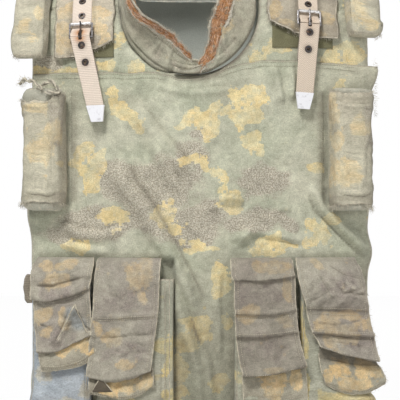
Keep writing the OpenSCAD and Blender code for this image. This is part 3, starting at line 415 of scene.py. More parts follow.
def cord(name, paths, body, mat, radius=0.0007, wander=0.0003, seed=1, sides=4):
    """Rounded cloth edges or piping: tubes along paths, a little uneven."""
    lines = []
    for k, path in enumerate(paths):
        p = np.asarray(path, float)
        s = run_of(p)
        t = np.linspace(0, s[-1], max(4, int(s[-1] / 0.0014)))
        p = stack(*(np.interp(t, s, p[:, j]) for j in range(3)))
        lines.append(p + wander * stack(*(noise(t, k, 0.006, seed + j, 2) for j in range(3))))
    return tubes(name, lines, radius, body, mat, sides=sides, taper=1.0)


# --- Materials ---
class Shader:
    """A material, with the few kinds of node that cloths, threads and metals are made of."""

    def __init__(self, name, **sockets):
        self.mat = bpy.data.materials.new(name)
        self.mat.use_nodes = True
        self.tree = self.mat.node_tree
        self.bsdf = self.tree.nodes["Principled BSDF"]
        for key, value in sockets.items():
            self.bsdf.inputs[key.replace("_", " ")].default_value = value
        self.at = self.put("UVMap", uv_map="metres").outputs[0]

    def put(self, kind, ins=None, **props):
        node = self.tree.nodes.new("ShaderNode" + kind)
        for key, value in props.items():
            setattr(node, key, value)
        for key, value in (ins or {}).items():
            if isinstance(value, bpy.types.NodeSocket):
                self.tree.links.new(value, node.inputs[key])
            elif isinstance(value, (tuple, list)) and len(value) == 3 and kind == "Mix":
                node.inputs[key].default_value = (*value, 1)
            else:
                node.inputs[key].default_value = value
        return node

    def math(self, op, a, b=0.0):
        return self.put("Math", {0: a, 1: b}, operation=op).outputs[0]

    def add(self, a, b):
        return self.math("ADD", a, b)

    def times(self, a, b):
        return self.math("MULTIPLY", a, b)

    def swing(self, v, width):
        """A value about 0.5, as one about 0 and width times as wide."""
        return self.times(self.math("SUBTRACT", v, 0.5), width)

    def worn(self, col):
        """Fray colour where the attribute of worn places and some noise add up; it holds real fraying at edges
        and painted highlight on raised crests.
        """
        worn = self.add(self.attr("wear_and_highlight"), self.swing(self.noise(170, 4, 0.7), 1.3))
        return self.mix(self.remap(worn, 0.5, 0.75, 0, 0.8), col, FRAY_AND_HIGHLIGHT)

    def weave(self, period):
        return self.add(self.wave(wave_scale(period)), self.wave(wave_scale(period), "Y"))

    def attr(self, name):
        return self.put("Attribute", attribute_name=name).outputs["Fac"]

    def noise(self, scale, detail=2.0, rough=0.5, at=None, distort=0.0):
        return self.put("TexNoise", {"Vector": at or self.at, "Scale": scale, "Detail": detail,
                                     "Roughness": rough, "Distortion": distort}).outputs["Fac"]

    def remap(self, v, a, b, c=0.0, d=1.0):
        return self.put("MapRange", {0: v, 1: a, 2: b, 3: c, 4: d}).outputs[0]

    def mix(self, fac, a, b, how="MIX"):
        return self.put("Mix", {0: fac, 6: a, 7: b}, data_type="RGBA", blend_type=how).outputs[2]

    def shade(self, col, v):
        return self.mix(1.0, col, self.put("CombineColor", {0: v, 1: v, 2: v}).outputs[0], "MULTIPLY")

    def wave(self, scale, axis="X", at=None, profile="SIN"):
        return self.put("TexWave", {"Vector": at or self.at, "Scale": scale}, bands_direction=axis,
                        wave_profile=profile).outputs["Fac"]

    def done(self, colour, rough, height, distance=0.0008, strength=0.6):
        self.tree.links.new(colour, self.bsdf.inputs["Base Color"])
        self.tree.links.new(rough, self.bsdf.inputs["Roughness"])
        normal = self.put("Bump", {"Height": height, "Distance": distance, "Strength": strength})
        self.tree.links.new(normal.outputs[0], self.bsdf.inputs["Normal"])
        return self.mat


def wave_scale(period):
    """Scale at which a wave texture repeats after the period, in metres."""
    return 2 * math.pi / 20 / period


def dim(colour, share):
    return tuple(share * c for c in colour)


CLOTH = {"Sheen_Weight": 0.08, "Sheen_Roughness": 0.5, "Specular_IOR_Level": 0.25}
# Colour of frayed cloth, also laid on raised crests as painted highlight
FRAY_AND_HIGHLIGHT = (0.66, 0.60, 0.47)
TAN = (0.88, 0.745, 0.40)
BROWN_DARK, BROWN_LIGHT = (0.33, 0.29, 0.225), (0.64, 0.585, 0.475)


def camo(name, ground, faded, tan=TAN, dark=BROWN_DARK, light=BROWN_LIGHT, tan_soft=0.035, crumple=1.0,
         drift=(0.44, 0.40, 0.32), tan_cover=0.92, specks=430):
    """Faded camouflage cotton: stepped tan blotches, speckled brown areas, worn places, weave, painted shade
    and highlight.
    """
    s = Shader(name, **CLOTH)
    cells = s.put("VectorMath", {0: s.at, 1: (0.0042, 0.0042, 0.0042)}, operation="SNAP").outputs[0]
    col = s.mix(s.remap(s.noise(9, 3), 0.35, 0.65), ground, faded)
    col = s.mix(s.remap(s.noise(6, 4, 0.65), 0.46, 0.68, 0, 0.55), col, drift)
    col = s.mix(s.remap(s.noise(34, 4, 0.6), 0.5, 0.72, 0, 0.4), col, dim(ground, 0.68))
    edge = s.add(s.attr("brown"), s.swing(s.noise(52, 4, 0.65), 2.0))
    grain = s.remap(s.noise(specks, 1.0, 0.5, distort=0.4), 0.42, 0.62)
    col = s.mix(s.remap(edge, 0.26, 0.78, 0, 0.86), col, s.mix(grain, dark, light))
    ragged = s.add(s.swing(s.noise(46, 2, 0.5, cells), 1.9),
                    s.swing(s.noise(150, 3, 0.6, cells), 1.7))
    shape = s.add(s.attr("tan"), ragged)
    tone = s.mix(s.remap(s.noise(48, 4, 0.6), 0.38, 0.62), tan,
                 tuple(c * f for c, f in zip(tan, (0.90, 0.84, 0.78))))
    tone = s.mix(s.remap(s.noise(140, 3, 0.6, cells), 0.54, 0.62, 0, 0.35), tone, faded)
    faint = s.remap(s.noise(24, 4, 0.6), 0.36, 0.6, 0.45 * tan_cover, tan_cover)
    col = s.mix(s.times(s.remap(shape, 0.58 - tan_soft, 0.58 + tan_soft), faint), col, tone)
    col = s.mix(s.attr("cool"), col, (0.36, 0.385, 0.38))
    col = s.worn(col)
    # Towards dark brown where the attribute of soiling and shade says: some real soiling, and painted shade in
    # creases, under and beside parts and along seams
    col = s.mix(s.attr("dirt_and_shade"), col, (0.16, 0.135, 0.10))
    fine = s.times(s.remap(s.noise(560, 3, 0.75), 0.3, 0.7, 0.70, 1.20),
                   s.remap(s.noise(110, 4, 0.65), 0.3, 0.7, 0.84, 1.12))
    # Painted crease shade: a distorted noise darkens and lightens the colour like lit and shaded crumples
    fine = s.times(fine, s.remap(s.noise(30, 6, 0.68, distort=0.7), 0.36, 0.62, 0.88 - 0.04 * crumple, 1.07))
    col = s.shade(col, fine)
    wrinkle = s.noise(55, 5, 0.62, distort=0.7)
    height = s.add(s.times(s.weave(0.0011), 0.10), s.times(wrinkle, 1.9 * crumple))
    return s.done(col, s.remap(s.noise(40, 3), 0.3, 0.7, 0.82, 0.96), height, 0.0018, 0.8)


def plain(name, ground, faded, stain=(0.30, 0.24, 0.15), grain=0.0011, crumple=1.0, fuzz=620):
    """One-colour cloth with fading, stains and weave, and painted shade and highlight."""
    s = Shader(name, **CLOTH)
    col = s.mix(s.remap(s.noise(14, 4), 0.35, 0.65), ground, faded)
    col = s.mix(s.remap(s.noise(22, 4, 0.65), 0.56, 0.75, 0, 0.5), col, stain)
    col = s.worn(col)
    # Towards dark brown where the attribute of soiling and shade says; in hollows and grooves it is painted
    # shade
    col = s.mix(s.attr("dirt_and_shade"), col, (0.14, 0.12, 0.09))
    col = s.shade(col, s.remap(s.noise(fuzz, 3, 0.7), 0.3, 0.7, 0.8, 1.12))
    height = s.add(s.times(s.weave(grain), 0.12), s.times(s.noise(60, 5, 0.62, distort=0.7), 1.4 * crumple))
    return s.done(col, s.remap(s.noise(40, 3), 0.3, 0.7, 0.82, 0.96), height, 0.0014, 0.7)


def webbing(name, base, dark, herringbone=False, stain=(0.50, 0.20, 0.05)):
    """Cotton webbing: ladder ribs or a herringbone weave, stained by the buckle."""
    s = Shader(name, Sheen_Weight=0.1, Sheen_Roughness=0.5, Specular_IOR_Level=0.25)
    u, v = s.put("SeparateXYZ", {0: s.at}).outputs[:2]
    if herringbone:
        v = s.add(v, s.times(s.math("PINGPONG", u, 0.0036), 0.9))
    at = s.put("CombineXYZ", {0: u, 1: v, 2: 0.0}).outputs[0]
    rib = s.wave(wave_scale(0.0026), "Y", at)
    yarn = s.wave(wave_scale(0.0016), "X", at)
    col = s.mix(s.remap(rib, 0.1, 0.55, 0.85 if herringbone else 0.6, 0), base, dark)
    col = s.mix(s.remap(yarn, 0.0, 0.4, 0.25, 0), col, dark)
    col = s.mix(s.remap(s.noise(40, 4, 0.6), 0.45, 0.7, 0, 0.45), col, dim(base, 0.8))
    col = s.mix(s.attr("rust"), col, stain)
    col = s.mix(s.attr("dirt_and_shade"), col, (0.25, 0.20, 0.15))
    col = s.shade(col, s.remap(s.noise(700, 3, 0.7), 0.3, 0.7, 0.86, 1.08))
    height = s.add(rib, s.times(yarn, 0.5))
    return s.done(col, s.remap(s.noise(50, 3), 0.3, 0.7, 0.8, 0.95), height, 0.0004, 0.7)


def metal(name, base, spots, rough=0.42, metallic=0.9, scale=260, cover=(0.52, 0.62)):
    s = Shader(name, Metallic=metallic)
    at = s.put("TexCoord").outputs["Object"]
    n = s.noise(scale, 5, 0.65, at)
    col = s.mix(s.remap(n, *cover), base, spots)
    return s.done(col, s.remap(s.noise(420, 3, 0.6, at), 0.3, 0.7, rough - 0.12, rough + 0.2), n, 0.0003, 0.5)


def hooks(name, base, light):
    """Hook-and-loop: a dense matted pile."""
    s = Shader(name, Sheen_Weight=0.15, Sheen_Roughness=0.6, Specular_IOR_Level=0.2)
    n = s.noise(900, 3, 0.7)
    col = s.mix(s.remap(n, 0.4, 0.62), base, light)
    col = s.mix(s.remap(s.noise(30, 4), 0.5, 0.7, 0, 0.5), col, dim(base, 0.6))
    return s.done(col, s.remap(n, 0.3, 0.7, 0.8, 0.98), n, 0.001, 0.8)


def thread(name, base, dark):
    s = Shader(name, Specular_IOR_Level=0.2)
    at = s.put("TexCoord").outputs["Object"]
    n = s.noise(150, 3, 0.6, at)
    col = s.mix(s.remap(n, 0.4, 0.6), base, dark)
    return s.done(col, s.remap(n, 0.3, 0.7, 0.75, 0.95), n, 0.0001, 0.4)


COVER = camo("cover", (0.46, 0.475, 0.35), (0.61, 0.60, 0.465), drift=(0.52, 0.475, 0.365), specks=520)
POUCH = camo("pouch", (0.365, 0.335, 0.27), (0.465, 0.43, 0.345), tan=(0.66, 0.52, 0.31),
             dark=(0.28, 0.235, 0.205), light=(0.37, 0.32, 0.28), tan_soft=0.2, crumple=1.6,
             drift=(0.33, 0.272, 0.245), tan_cover=0.72)
POUCH_BODY = camo("pouch_body", (0.41, 0.41, 0.315), (0.50, 0.49, 0.38), tan=(0.78, 0.66, 0.32),
                  tan_soft=0.12, crumple=1.5, drift=(0.38, 0.345, 0.28))
POUCH_BLUE = camo("pouch_blue", (0.38, 0.425, 0.46), (0.52, 0.57, 0.61), tan=(0.66, 0.60, 0.42),
                  tan_soft=0.14, crumple=1.5, drift=(0.43, 0.43, 0.43), tan_cover=0.6)
BAND = camo("band", (0.38, 0.36, 0.28), (0.48, 0.45, 0.35), tan=(0.82, 0.62, 0.33), tan_soft=0.18,
            crumple=1.7, drift=(0.42, 0.36, 0.27))
ROLL = camo("roll", (0.54, 0.51, 0.385), (0.66, 0.615, 0.475), tan=(0.84, 0.70, 0.42),
            dark=(0.44, 0.385, 0.305), light=(0.60, 0.55, 0.45), tan_soft=0.2, crumple=1.5,
            drift=(0.52, 0.455, 0.355), tan_cover=0.8)
FLAP_CLOTH = camo("flap_cloth", (0.50, 0.445, 0.34), (0.62, 0.555, 0.43), tan=(0.82, 0.65, 0.38),
                  tan_soft=0.18, crumple=1.6, dark=(0.38, 0.32, 0.25), light=(0.56, 0.49, 0.39),
                  drift=(0.48, 0.395, 0.305), tan_cover=0.85)
CORE = plain("core", (0.40, 0.39, 0.31), (0.47, 0.455, 0.37), crumple=1.4)
COLLAR = camo("collar", (0.36, 0.35, 0.26), (0.46, 0.44, 0.34), tan=(0.62, 0.49, 0.29), tan_soft=0.2,
              dark=(0.27, 0.235, 0.185), light=(0.46, 0.41, 0.33), crumple=1.6, drift=(0.36, 0.30, 0.235),
              tan_cover=0.75)
LINING = plain("lining", (0.43, 0.45, 0.40), (0.50, 0.52, 0.46), stain=(0.38, 0.38, 0.33), crumple=0.9)
# A darker copy of the lining cloth, for the inside of the front panel: painted shade
DARK_LINING = plain("dark_lining", (0.26, 0.265, 0.225), (0.32, 0.325, 0.28), stain=(0.22, 0.22, 0.18),
                    crumple=1.2)
FILLING = plain("filling", (0.36, 0.18, 0.075), (0.48, 0.27, 0.13), stain=(0.20, 0.11, 0.06), crumple=2.2,
                fuzz=380)
OLIVE = hooks("olive_pile", (0.12, 0.115, 0.055), (0.22, 0.205, 0.12))
WEB = (webbing("ladder_webbing", (0.79, 0.685, 0.58), (0.52, 0.415, 0.335)),
       webbing("herringbone_webbing", (0.77, 0.665, 0.545), (0.45, 0.34, 0.245), True))
STUB = webbing("stub_webbing", (0.48, 0.41, 0.34), (0.28, 0.22, 0.18))
LOOP = webbing("loop_webbing", (0.30, 0.26, 0.20), (0.16, 0.13, 0.10))
IRON = metal("worn_iron", (0.055, 0.05, 0.05), (0.16, 0.10, 0.07))
STEEL = metal("bright_steel", (0.58, 0.57, 0.56), (0.24, 0.20, 0.17), 0.28, cover=(0.54, 0.66))
BUCKLE = metal("buckle_steel", (0.24, 0.23, 0.23), (0.07, 0.05, 0.045), 0.3)
TIP = metal("white_tip", (0.75, 0.75, 0.775), (0.55, 0.54, 0.56), 0.5, 0.0, 140, (0.55, 0.68))
TITANIUM = metal("titanium", (0.42, 0.41, 0.40), (0.30, 0.29, 0.28), 0.4, 1.0, 60, (0.4, 0.7))
ARAMID = plain("aramid", (0.62, 0.50, 0.18), (0.72, 0.60, 0.26), grain=0.0016)
THREAD = thread("loose_threads", (0.72, 0.67, 0.55), (0.42, 0.38, 0.30))
SEAM = thread("seam_thread", (0.36, 0.33, 0.25), (0.22, 0.20, 0.15))
PALE_SEAM = thread("pale_seam_thread", (0.62, 0.56, 0.44), (0.44, 0.40, 0.31))
RUSTY = thread("filling_threads", (0.46, 0.22, 0.09), (0.68, 0.46, 0.33))
CORD = thread("edge_cord", (0.56, 0.51, 0.40), (0.34, 0.30, 0.24))
PALE_CORD = thread("pale_edge_cord", (0.66, 0.60, 0.47), (0.44, 0.39, 0.30))
# Near-black cloth for the inside of a folded corner: painted shade
SHADED_FOLD_INSIDE = plain("shaded_fold_inside", (0.085, 0.07, 0.05), (0.14, 0.115, 0.085), crumple=1.4)
LIP = plain("frayed_lip", (0.39, 0.365, 0.29), (0.56, 0.52, 0.43), crumple=2.2)

# The CAD's own pieces: metal, and the layers sealed inside the panels
for names, mat in (
        (("strap_eyelets", "tail_eyelets_left", "tail_eyelets_right", "buckle_prong_left"), IRON),
        (("buckle_frame_left", "buckle_frame_right", "buckle_prong_right"), BUCKLE),
        (("buckle_roller_left", "buckle_roller_right"), STEEL),
        (("strap_tip_left", "strap_tip_right"), TIP),
        (("front_plates", "back_plates"), TITANIUM),
        (("front_ballistic_pack", "back_ballistic_pack"), ARAMID),
        (("front_plate_pockets", "back_plate_pockets"), LINING)):
    for node in names:
        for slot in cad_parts[node].material_slots:
            slot.material = mat


# --- Panels ---
def edge_wave(x, l, back):
    """Sideways wander of the worn edges, left and right, in metres."""
    h = np.minimum(l, 0.7)
    if back:
        left = 0.003 * noise(h, 0, 0.12, 31)
        right = 0.003 * noise(h, 0, 0.12, 37)
    else:
        left = (-0.008 * bump(h, 0.308, 0.035) + 0.004 * bump(h, 0.13, 0.05) - 0.003 * bump(h, 0.05, 0.03)
                + 0.0016 * noise(h, 0, 0.05, 31))
        right = (0.006 * bump(h, 0.25, 0.02) + 0.004 * bump(h, 0.36, 0.05) + 0.0015 * bump(h, 0.14, 0.03)
                 + 0.0016 * noise(h, 0, 0.05, 37))
    s = smooth((np.abs(x) - 0.19) / (HALF_W - 0.19))
    return np.where(x < 0, np.minimum(left, EDGE_IN), np.maximum(right, -EDGE_IN)) * s


def neck_edge(x, back):
    d = np.abs(x - NECK_X)
    if back:
        c = NECK_R - NAPE_R
        return NAPE_H + np.where(d > c, NAPE_R - np.sqrt(np.maximum(0, NAPE_R ** 2 - (d - c) ** 2)), 0)
    return NECK_H - np.sqrt(np.maximum(0, NECK_R ** 2 - d ** 2))


def panel(back):
    """A panel's grid: x, length, height and distance from the edge of its points, and its faces."""
    near = np.array([0, 0.0006, 0.0016, 0.003, 0.005, 0.008])
    n0, n1 = NECK_X - NECK_R, NECK_X + NECK_R
    left = np.concatenate([-HALF_W + near, np.linspace(-HALF_W + 0.012, n0 - 0.01, 28), n0 - near[::-1][:-1]])
    mid = NECK_X + NECK_R * np.sin(np.linspace(-math.pi / 2, math.pi / 2, 49))
    right = np.concatenate([n1 + near[1:], np.linspace(n1 + 0.01, HALF_W - 0.012, 34), HALF_W - near[::-1]])
    xs = np.concatenate([left, mid, right])
    a, b = len(left), len(left) + len(mid) - 1
    side_h = NAPE_H + NAPE_R if back else NECK_H
    r = np.concatenate([near / side_h, np.linspace(0.02, 0.98, 150), 1 - near[::-1] / side_h])
    top = length_at(xs, np.full(xs.shape, side_h))
    edge = np.where((xs > n0) & (xs < n1), length_at(xs, neck_edge(xs, back)), top)
    grid = np.where(r[:, None] < 0.7, r[:, None] * top,
                    0.7 * top + (r[:, None] - 0.7) / 0.3 * (edge - 0.7 * top))
    rise = np.linspace(0, 1, 30)[1:]
    upper = top + rise[:, None] * (ROLL_H + ROLL_L - top)
    xl = np.concatenate([stack(np.broadcast_to(xs, g.shape), g).reshape(-1, 2) for g in (grid, upper)])
    w, m = len(xs), len(r)
    i, j = np.meshgrid(np.arange(m + len(rise) - 1), np.arange(w - 1), indexing="ij")
    ok = (i < m - 1) | (j < a) | (j >= b)
    i, j = i[ok], j[ok]
    quads = stack(i * w + j, i * w + j + 1, (i + 1) * w + j + 1, (i + 1) * w + j)
    used = np.unique(quads)
    new = np.full(len(xl), -1)
    new[used] = np.arange(len(used))
    quads, xl = new[quads], xl[used]
    x, l = xl[:, 0], xl[:, 1]
    h = skin(x, l)[:, 2] + REST_H
    side = HALF_W - np.abs(x)
    neck = np.where(h < side_h, np.abs(h - neck_edge(x, back)), 1.0)
    neck = np.minimum(neck, np.hypot(x - NECK_X, h - NECK_H) - NECK_R) if not back else neck
    neck = np.where(h >= side_h, np.abs(x - NECK_X) - NECK_R, neck)
    d = np.clip(np.minimum(np.minimum(side, l), np.abs(neck)), 0, 1)
    return x, l, h, d, quads


def level_length(x, l, n):
    """Length along a layer n deep whose height is that of the outer face at l."""
    h = skin(x, l)[..., 2] + REST_H - ROLL_H
    a = np.arcsin(np.clip(h / (-bow_y(x) + n), 0, 1))
    return np.where(l > ROLL_H, ROLL_H + ROLL_L * a / (math.pi / 2), l)


# Radius of the panels' front edges, and the depths and outward steps of the rings of their side walls
EDGE_R = 0.008
WALL = ((-0.0105, 0.0008), (-0.014, 0.001), (-0.018, 0.0006), (-RIM_T, -0.0006), (-RIM_T, -0.006))


def shell(back):
    """The cover of a panel: rounded front edges and side walls back to the lining."""
    side = "back" if back else "front"
    x, l, h, d, quads = panel(back)
    n = np.sqrt(np.clip(EDGE_R ** 2 - (EDGE_R - np.minimum(d, EDGE_R)) ** 2, 0, None)) - EDGE_R
    inner = smooth((d - 0.006) / 0.03)
    if back:
        puff = (0.004 * noise(x, l, 0.16, 5, 3) - 0.002
                + crease(x, l, [(-150, 520), (-60, 400), (20, 300)], 4, 16)
                + crease(x, l, [(160, 480), (90, 380), (60, 240)], 4, 14)
                + crease(x, l, [(-200, 240), (-100, 190), (30, 200)], 3, 12)
                + crease(x, l, [(30, 180), (120, 120), (210, 110)], 4, 13))
        n = n + inner * np.maximum(puff + 0.0015, -HOLLOW)
    else:
        n = n - inner * HOLLOW * (0.5 + 0.5 * noise(x, l, 0.05, 5, 3))
        neck_folds = (crease(x, h, [(-108, 590), (-96, 545), (-66, 518)], 3.4, 5)
                      + crease(x, h, [(84, 590), (76, 560), (52, 522)], 3.0, 5)
                      + crease(x, h, [(72, 560), (50, 538), (20, 516)], 2.5, 5))
        n = n + inner * np.maximum(neck_folds, -HOLLOW)
    x2 = x + edge_wave(x, l, back)
    upright = smooth((np.abs(x) - HALF_W + 0.012) / 0.012)
    points = skin(x2 - n * np.sin(tilt(x2)) * upright, l, n, back)
    uv = stack(x, l)
    count = len(points)
    edges = np.concatenate([quads[:, [0, 1]], quads[:, [1, 2]], quads[:, [2, 3]], quads[:, [3, 0]]])
    _, first, uses = np.unique(np.sort(edges, axis=1), axis=0, return_index=True, return_counts=True)
    rim = edges[first[uses == 1]]
    loop = np.unique(rim)
    ring_at = np.full(count, -1)
    ring_at[loop] = np.arange(len(loop))
    walls, wall_uv, rings = [], [], [points]
    lx, at_side = x2[loop], np.abs(x[loop]) > HALF_W - 0.002
    near = np.abs(lx - NECK_X) < NECK_R + 0.002
    right, left = rim.T
    above = left, right
    for k, (deep, outward) in enumerate(WALL):
        sx = at_side * (np.sign(lx) * outward - deep * np.sin(tilt(lx)))
        ll = np.where(near, level_length(lx, l[loop], deep), l[loop])
        rings.append(skin(lx + sx, np.maximum(ll, -outward), deep, back))
        below = [count + k * len(loop) + ring_at[v] for v in (left, right)]
        walls.append(stack(*above, *below[::-1]))
        above = below
        v0 = 0.004 * k
        wall_uv.append(np.stack([uv[left] + v0, uv[right] + v0, uv[right] + v0 + 0.004,
                                 uv[left] + v0 + 0.004], 1))
    faces = np.concatenate([quads] + walls)
    uvs = np.concatenate([uv[quads]] + wall_uv)
    if back:
        faces, uvs = faces[:, ::-1], uvs[:, ::-1]
        tan = blobs(x, h, [(-150, 480, 26, 18), (60, 520, 30, 20), (170, 400, 20, 40), (-60, 350, 34, 22),
                           (-190, 250, 22, 30), (90, 230, 36, 20), (-30, 120, 30, 28), (190, 120, 22, 20),
                           (-160, 60, 34, 14), (10, 430, 18, 24), (160, 590, 24, 14), (-170, 610, 26, 14)])
        brown = blobs(x, h, [(-90, 420, 60, 34), (110, 320, 70, 36), (-120, 170, 60, 40), (60, 70, 60, 26),
                             (130, 500, 40, 24)])
    else:
        tan = blobs(x, h, [(-146, 525, 24, 8), (-52, 522, 18, 12), (-205, 510, 26, 8), (112, 548, 20, 10),
                           (214, 540, 26, 14), (190, 528, 14, 10), (-122, 560, 10, 14), (232, 620, 14, 20),
                           (-90, 518, 14, 8), (86, 536, 12, 8), (-232, 512, 14, 10)])
        brown = blobs(x, h, [(-225, 523, 22, 12), (150, 520, 30, 8), (-250, 306, 8, 16)])
    wear_and_highlight = by_edge(d, 0.007) * 0.75
    off, turned = np.hypot(x - NECK_X, h - NECK_H) - NECK_R, np.arctan2(x - NECK_X, NECK_H - h)
    # Painted shadow along the neck edge under the collar, strongest just right of its lowest point, on the
    # front only
    dirt_and_shade = (0.85 * bump(off, 0.0, 0.006) * bump(turned, 0.45, 0.55) + 0.25 * bump(off, 0.0, 0.004)
            + 0.16 * bump(turned, 0.95, 0.35) * smooth(1 - off / 0.05)) * (0 if back else 1)
    obj = finish_piece(side + "_shell", np.concatenate(rings), faces.tolist(), uvs.reshape(-1, 2), side,
                       COVER, {"tan": tan, "brown": brown, "wear_and_highlight": wear_and_highlight, "dirt_and_shade": np.clip(dirt_and_shade, 0, 0.9)})
    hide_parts(side + "_cover")


def lining(back):
    side = "back" if back else "front"
    x, l, _, d, quads = panel(back)
    n = -LINING_N + 0.0004 * noise(x, l, 0.03, 15)
    n = n - 0.0016 * smooth((d - 0.01) / 0.05) * np.abs(noise(x, l, 0.09, 19))
    share = 1 - smooth((np.abs(x - NECK_X) - NECK_R - 0.004) / 0.05)
    points = skin(x + 0.8 * edge_wave(x, l, back), l + (level_length(x, l, n) - l) * share, n, back)
    faces = quads if back else quads[:, ::-1]
    obj = finish_piece(side + "_lining_cloth", points, faces.tolist(), stack(x, l)[faces].reshape(-1, 2),
                       side, LINING if back else DARK_LINING, {"wear_and_highlight": by_edge(d, 0.004) * 0.6})
    thicken(obj, 0.0012)
    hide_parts(side + "_lining")


for make in (shell, lining):
    for at_back in (False, True):
        make(at_back)


# --- Chest pocket cloth ---
def yoke(x):
    """Height of the stitched top edge of the chest pocket cloth."""
    xs = np.array([-248, -175, -70, -45, -30, 0, 18, 40, 60, 95, 160, 248]) / 1000
    hs = np.array([YOKE_LEFT + 0.0005, YOKE_LEFT + 0.001, YOKE_LEFT, 0.508, 0.503, 0.503, 0.508, 0.517, 0.524,
                   YOKE_RIGHT, YOKE_RIGHT, YOKE_RIGHT - 0.008])
    return np.interp(x, xs, hs) + 0.0012 * noise(x, 0, 0.02, 41, 2)


CHEST_TAN = [(-131, 472, 6, 10), (-116, 461, 9, 9), (-101, 448, 12, 9), (-91, 434, 9, 8), (-124, 452, 6, 6),
             (-112, 446, 6, 5), (-16, 445, 11, 9), (9, 448, 12, 7), (25, 457, 10, 8), (-3, 433, 9, 7),
             (12, 420, 10, 8), (20, 434, 8, 7), (-28, 438, 6, 6), (75, 486, 12, 7), (55, 470, 10, 10),
             (86, 470, 10, 9), (58, 448, 11, 10), (73, 454, 10, 9), (66, 480, 9, 6), (92, 480, 5, 6),
             (75, 409, 9, 12), (84, 398, 7, 6), (-165, 390, 9, 10), (-171, 376, 12, 9), (-152, 373, 13, 8),
             (-160, 348, 8, 14), (-146, 384, 7, 7), (-168, 362, 9, 6), (30, 354, 6, 8), (25, 372, 7, 6),
             (39, 320, 10, 10), (46, 332, 6, 5), (30, 336, 5, 6), (-16, 381, 8, 5), (3, 376, 7, 5),
             (-58, 312, 10, 8), (-41, 315, 8, 7), (-46, 293, 9, 7), (-33, 284, 8, 7), (-52, 302, 6, 5),
             (-128, 297, 12, 8), (-116, 306, 8, 5), (-181, 264, 14, 7), (-166, 258, 7, 5), (-6, 262, 12, 6),
             (-16, 251, 8, 7), (9, 254, 9, 5), (164, 293, 8, 8), (177, 284, 9, 8), (183, 265, 8, 9),
             (158, 262, 9, 5), (170, 272, 6, 5), (88, 257, 13, 5), (106, 254, 10, 4), (118, 260, 11, 4),
             (100, 266, 7, 4), (28, 213, 8, 12), (25, 196, 5, 6), (39, 152, 6, 8), (-22, 146, 10, 8),
             (-6, 128, 10, 9), (-28, 110, 11, 8), (-3, 146, 9, 7), (-16, 120, 8, 7), (-30, 80, 12, 12),
             (30, 60, 10, 10), (-40, 40, 16, 10), (206, 470, 7, 18), (166, 372, 8, 6), (194, 300, 7, 6)]
TAN_GROWTH = 1.45
CHEST_TAN = [(x, z, TAN_GROWTH * w, TAN_GROWTH * h) for x, z, w, h in CHEST_TAN]
CHEST_BROWN = [(-110, 352, 44, 30), (-40, 352, 38, 36), (-12, 384, 22, 22), (-70, 330, 56, 22),
               (92, 354, 38, 24), (-150, 292, 46, 22), (-34, 292, 52, 22), (12, 300, 26, 20),
               (88, 300, 34, 18), (128, 290, 16, 10), (-10, 280, 36, 24), (0, 420, 16, 8),
               (-100, 298, 38, 16), (-190, 276, 34, 14), (60, 290, 26, 12)]


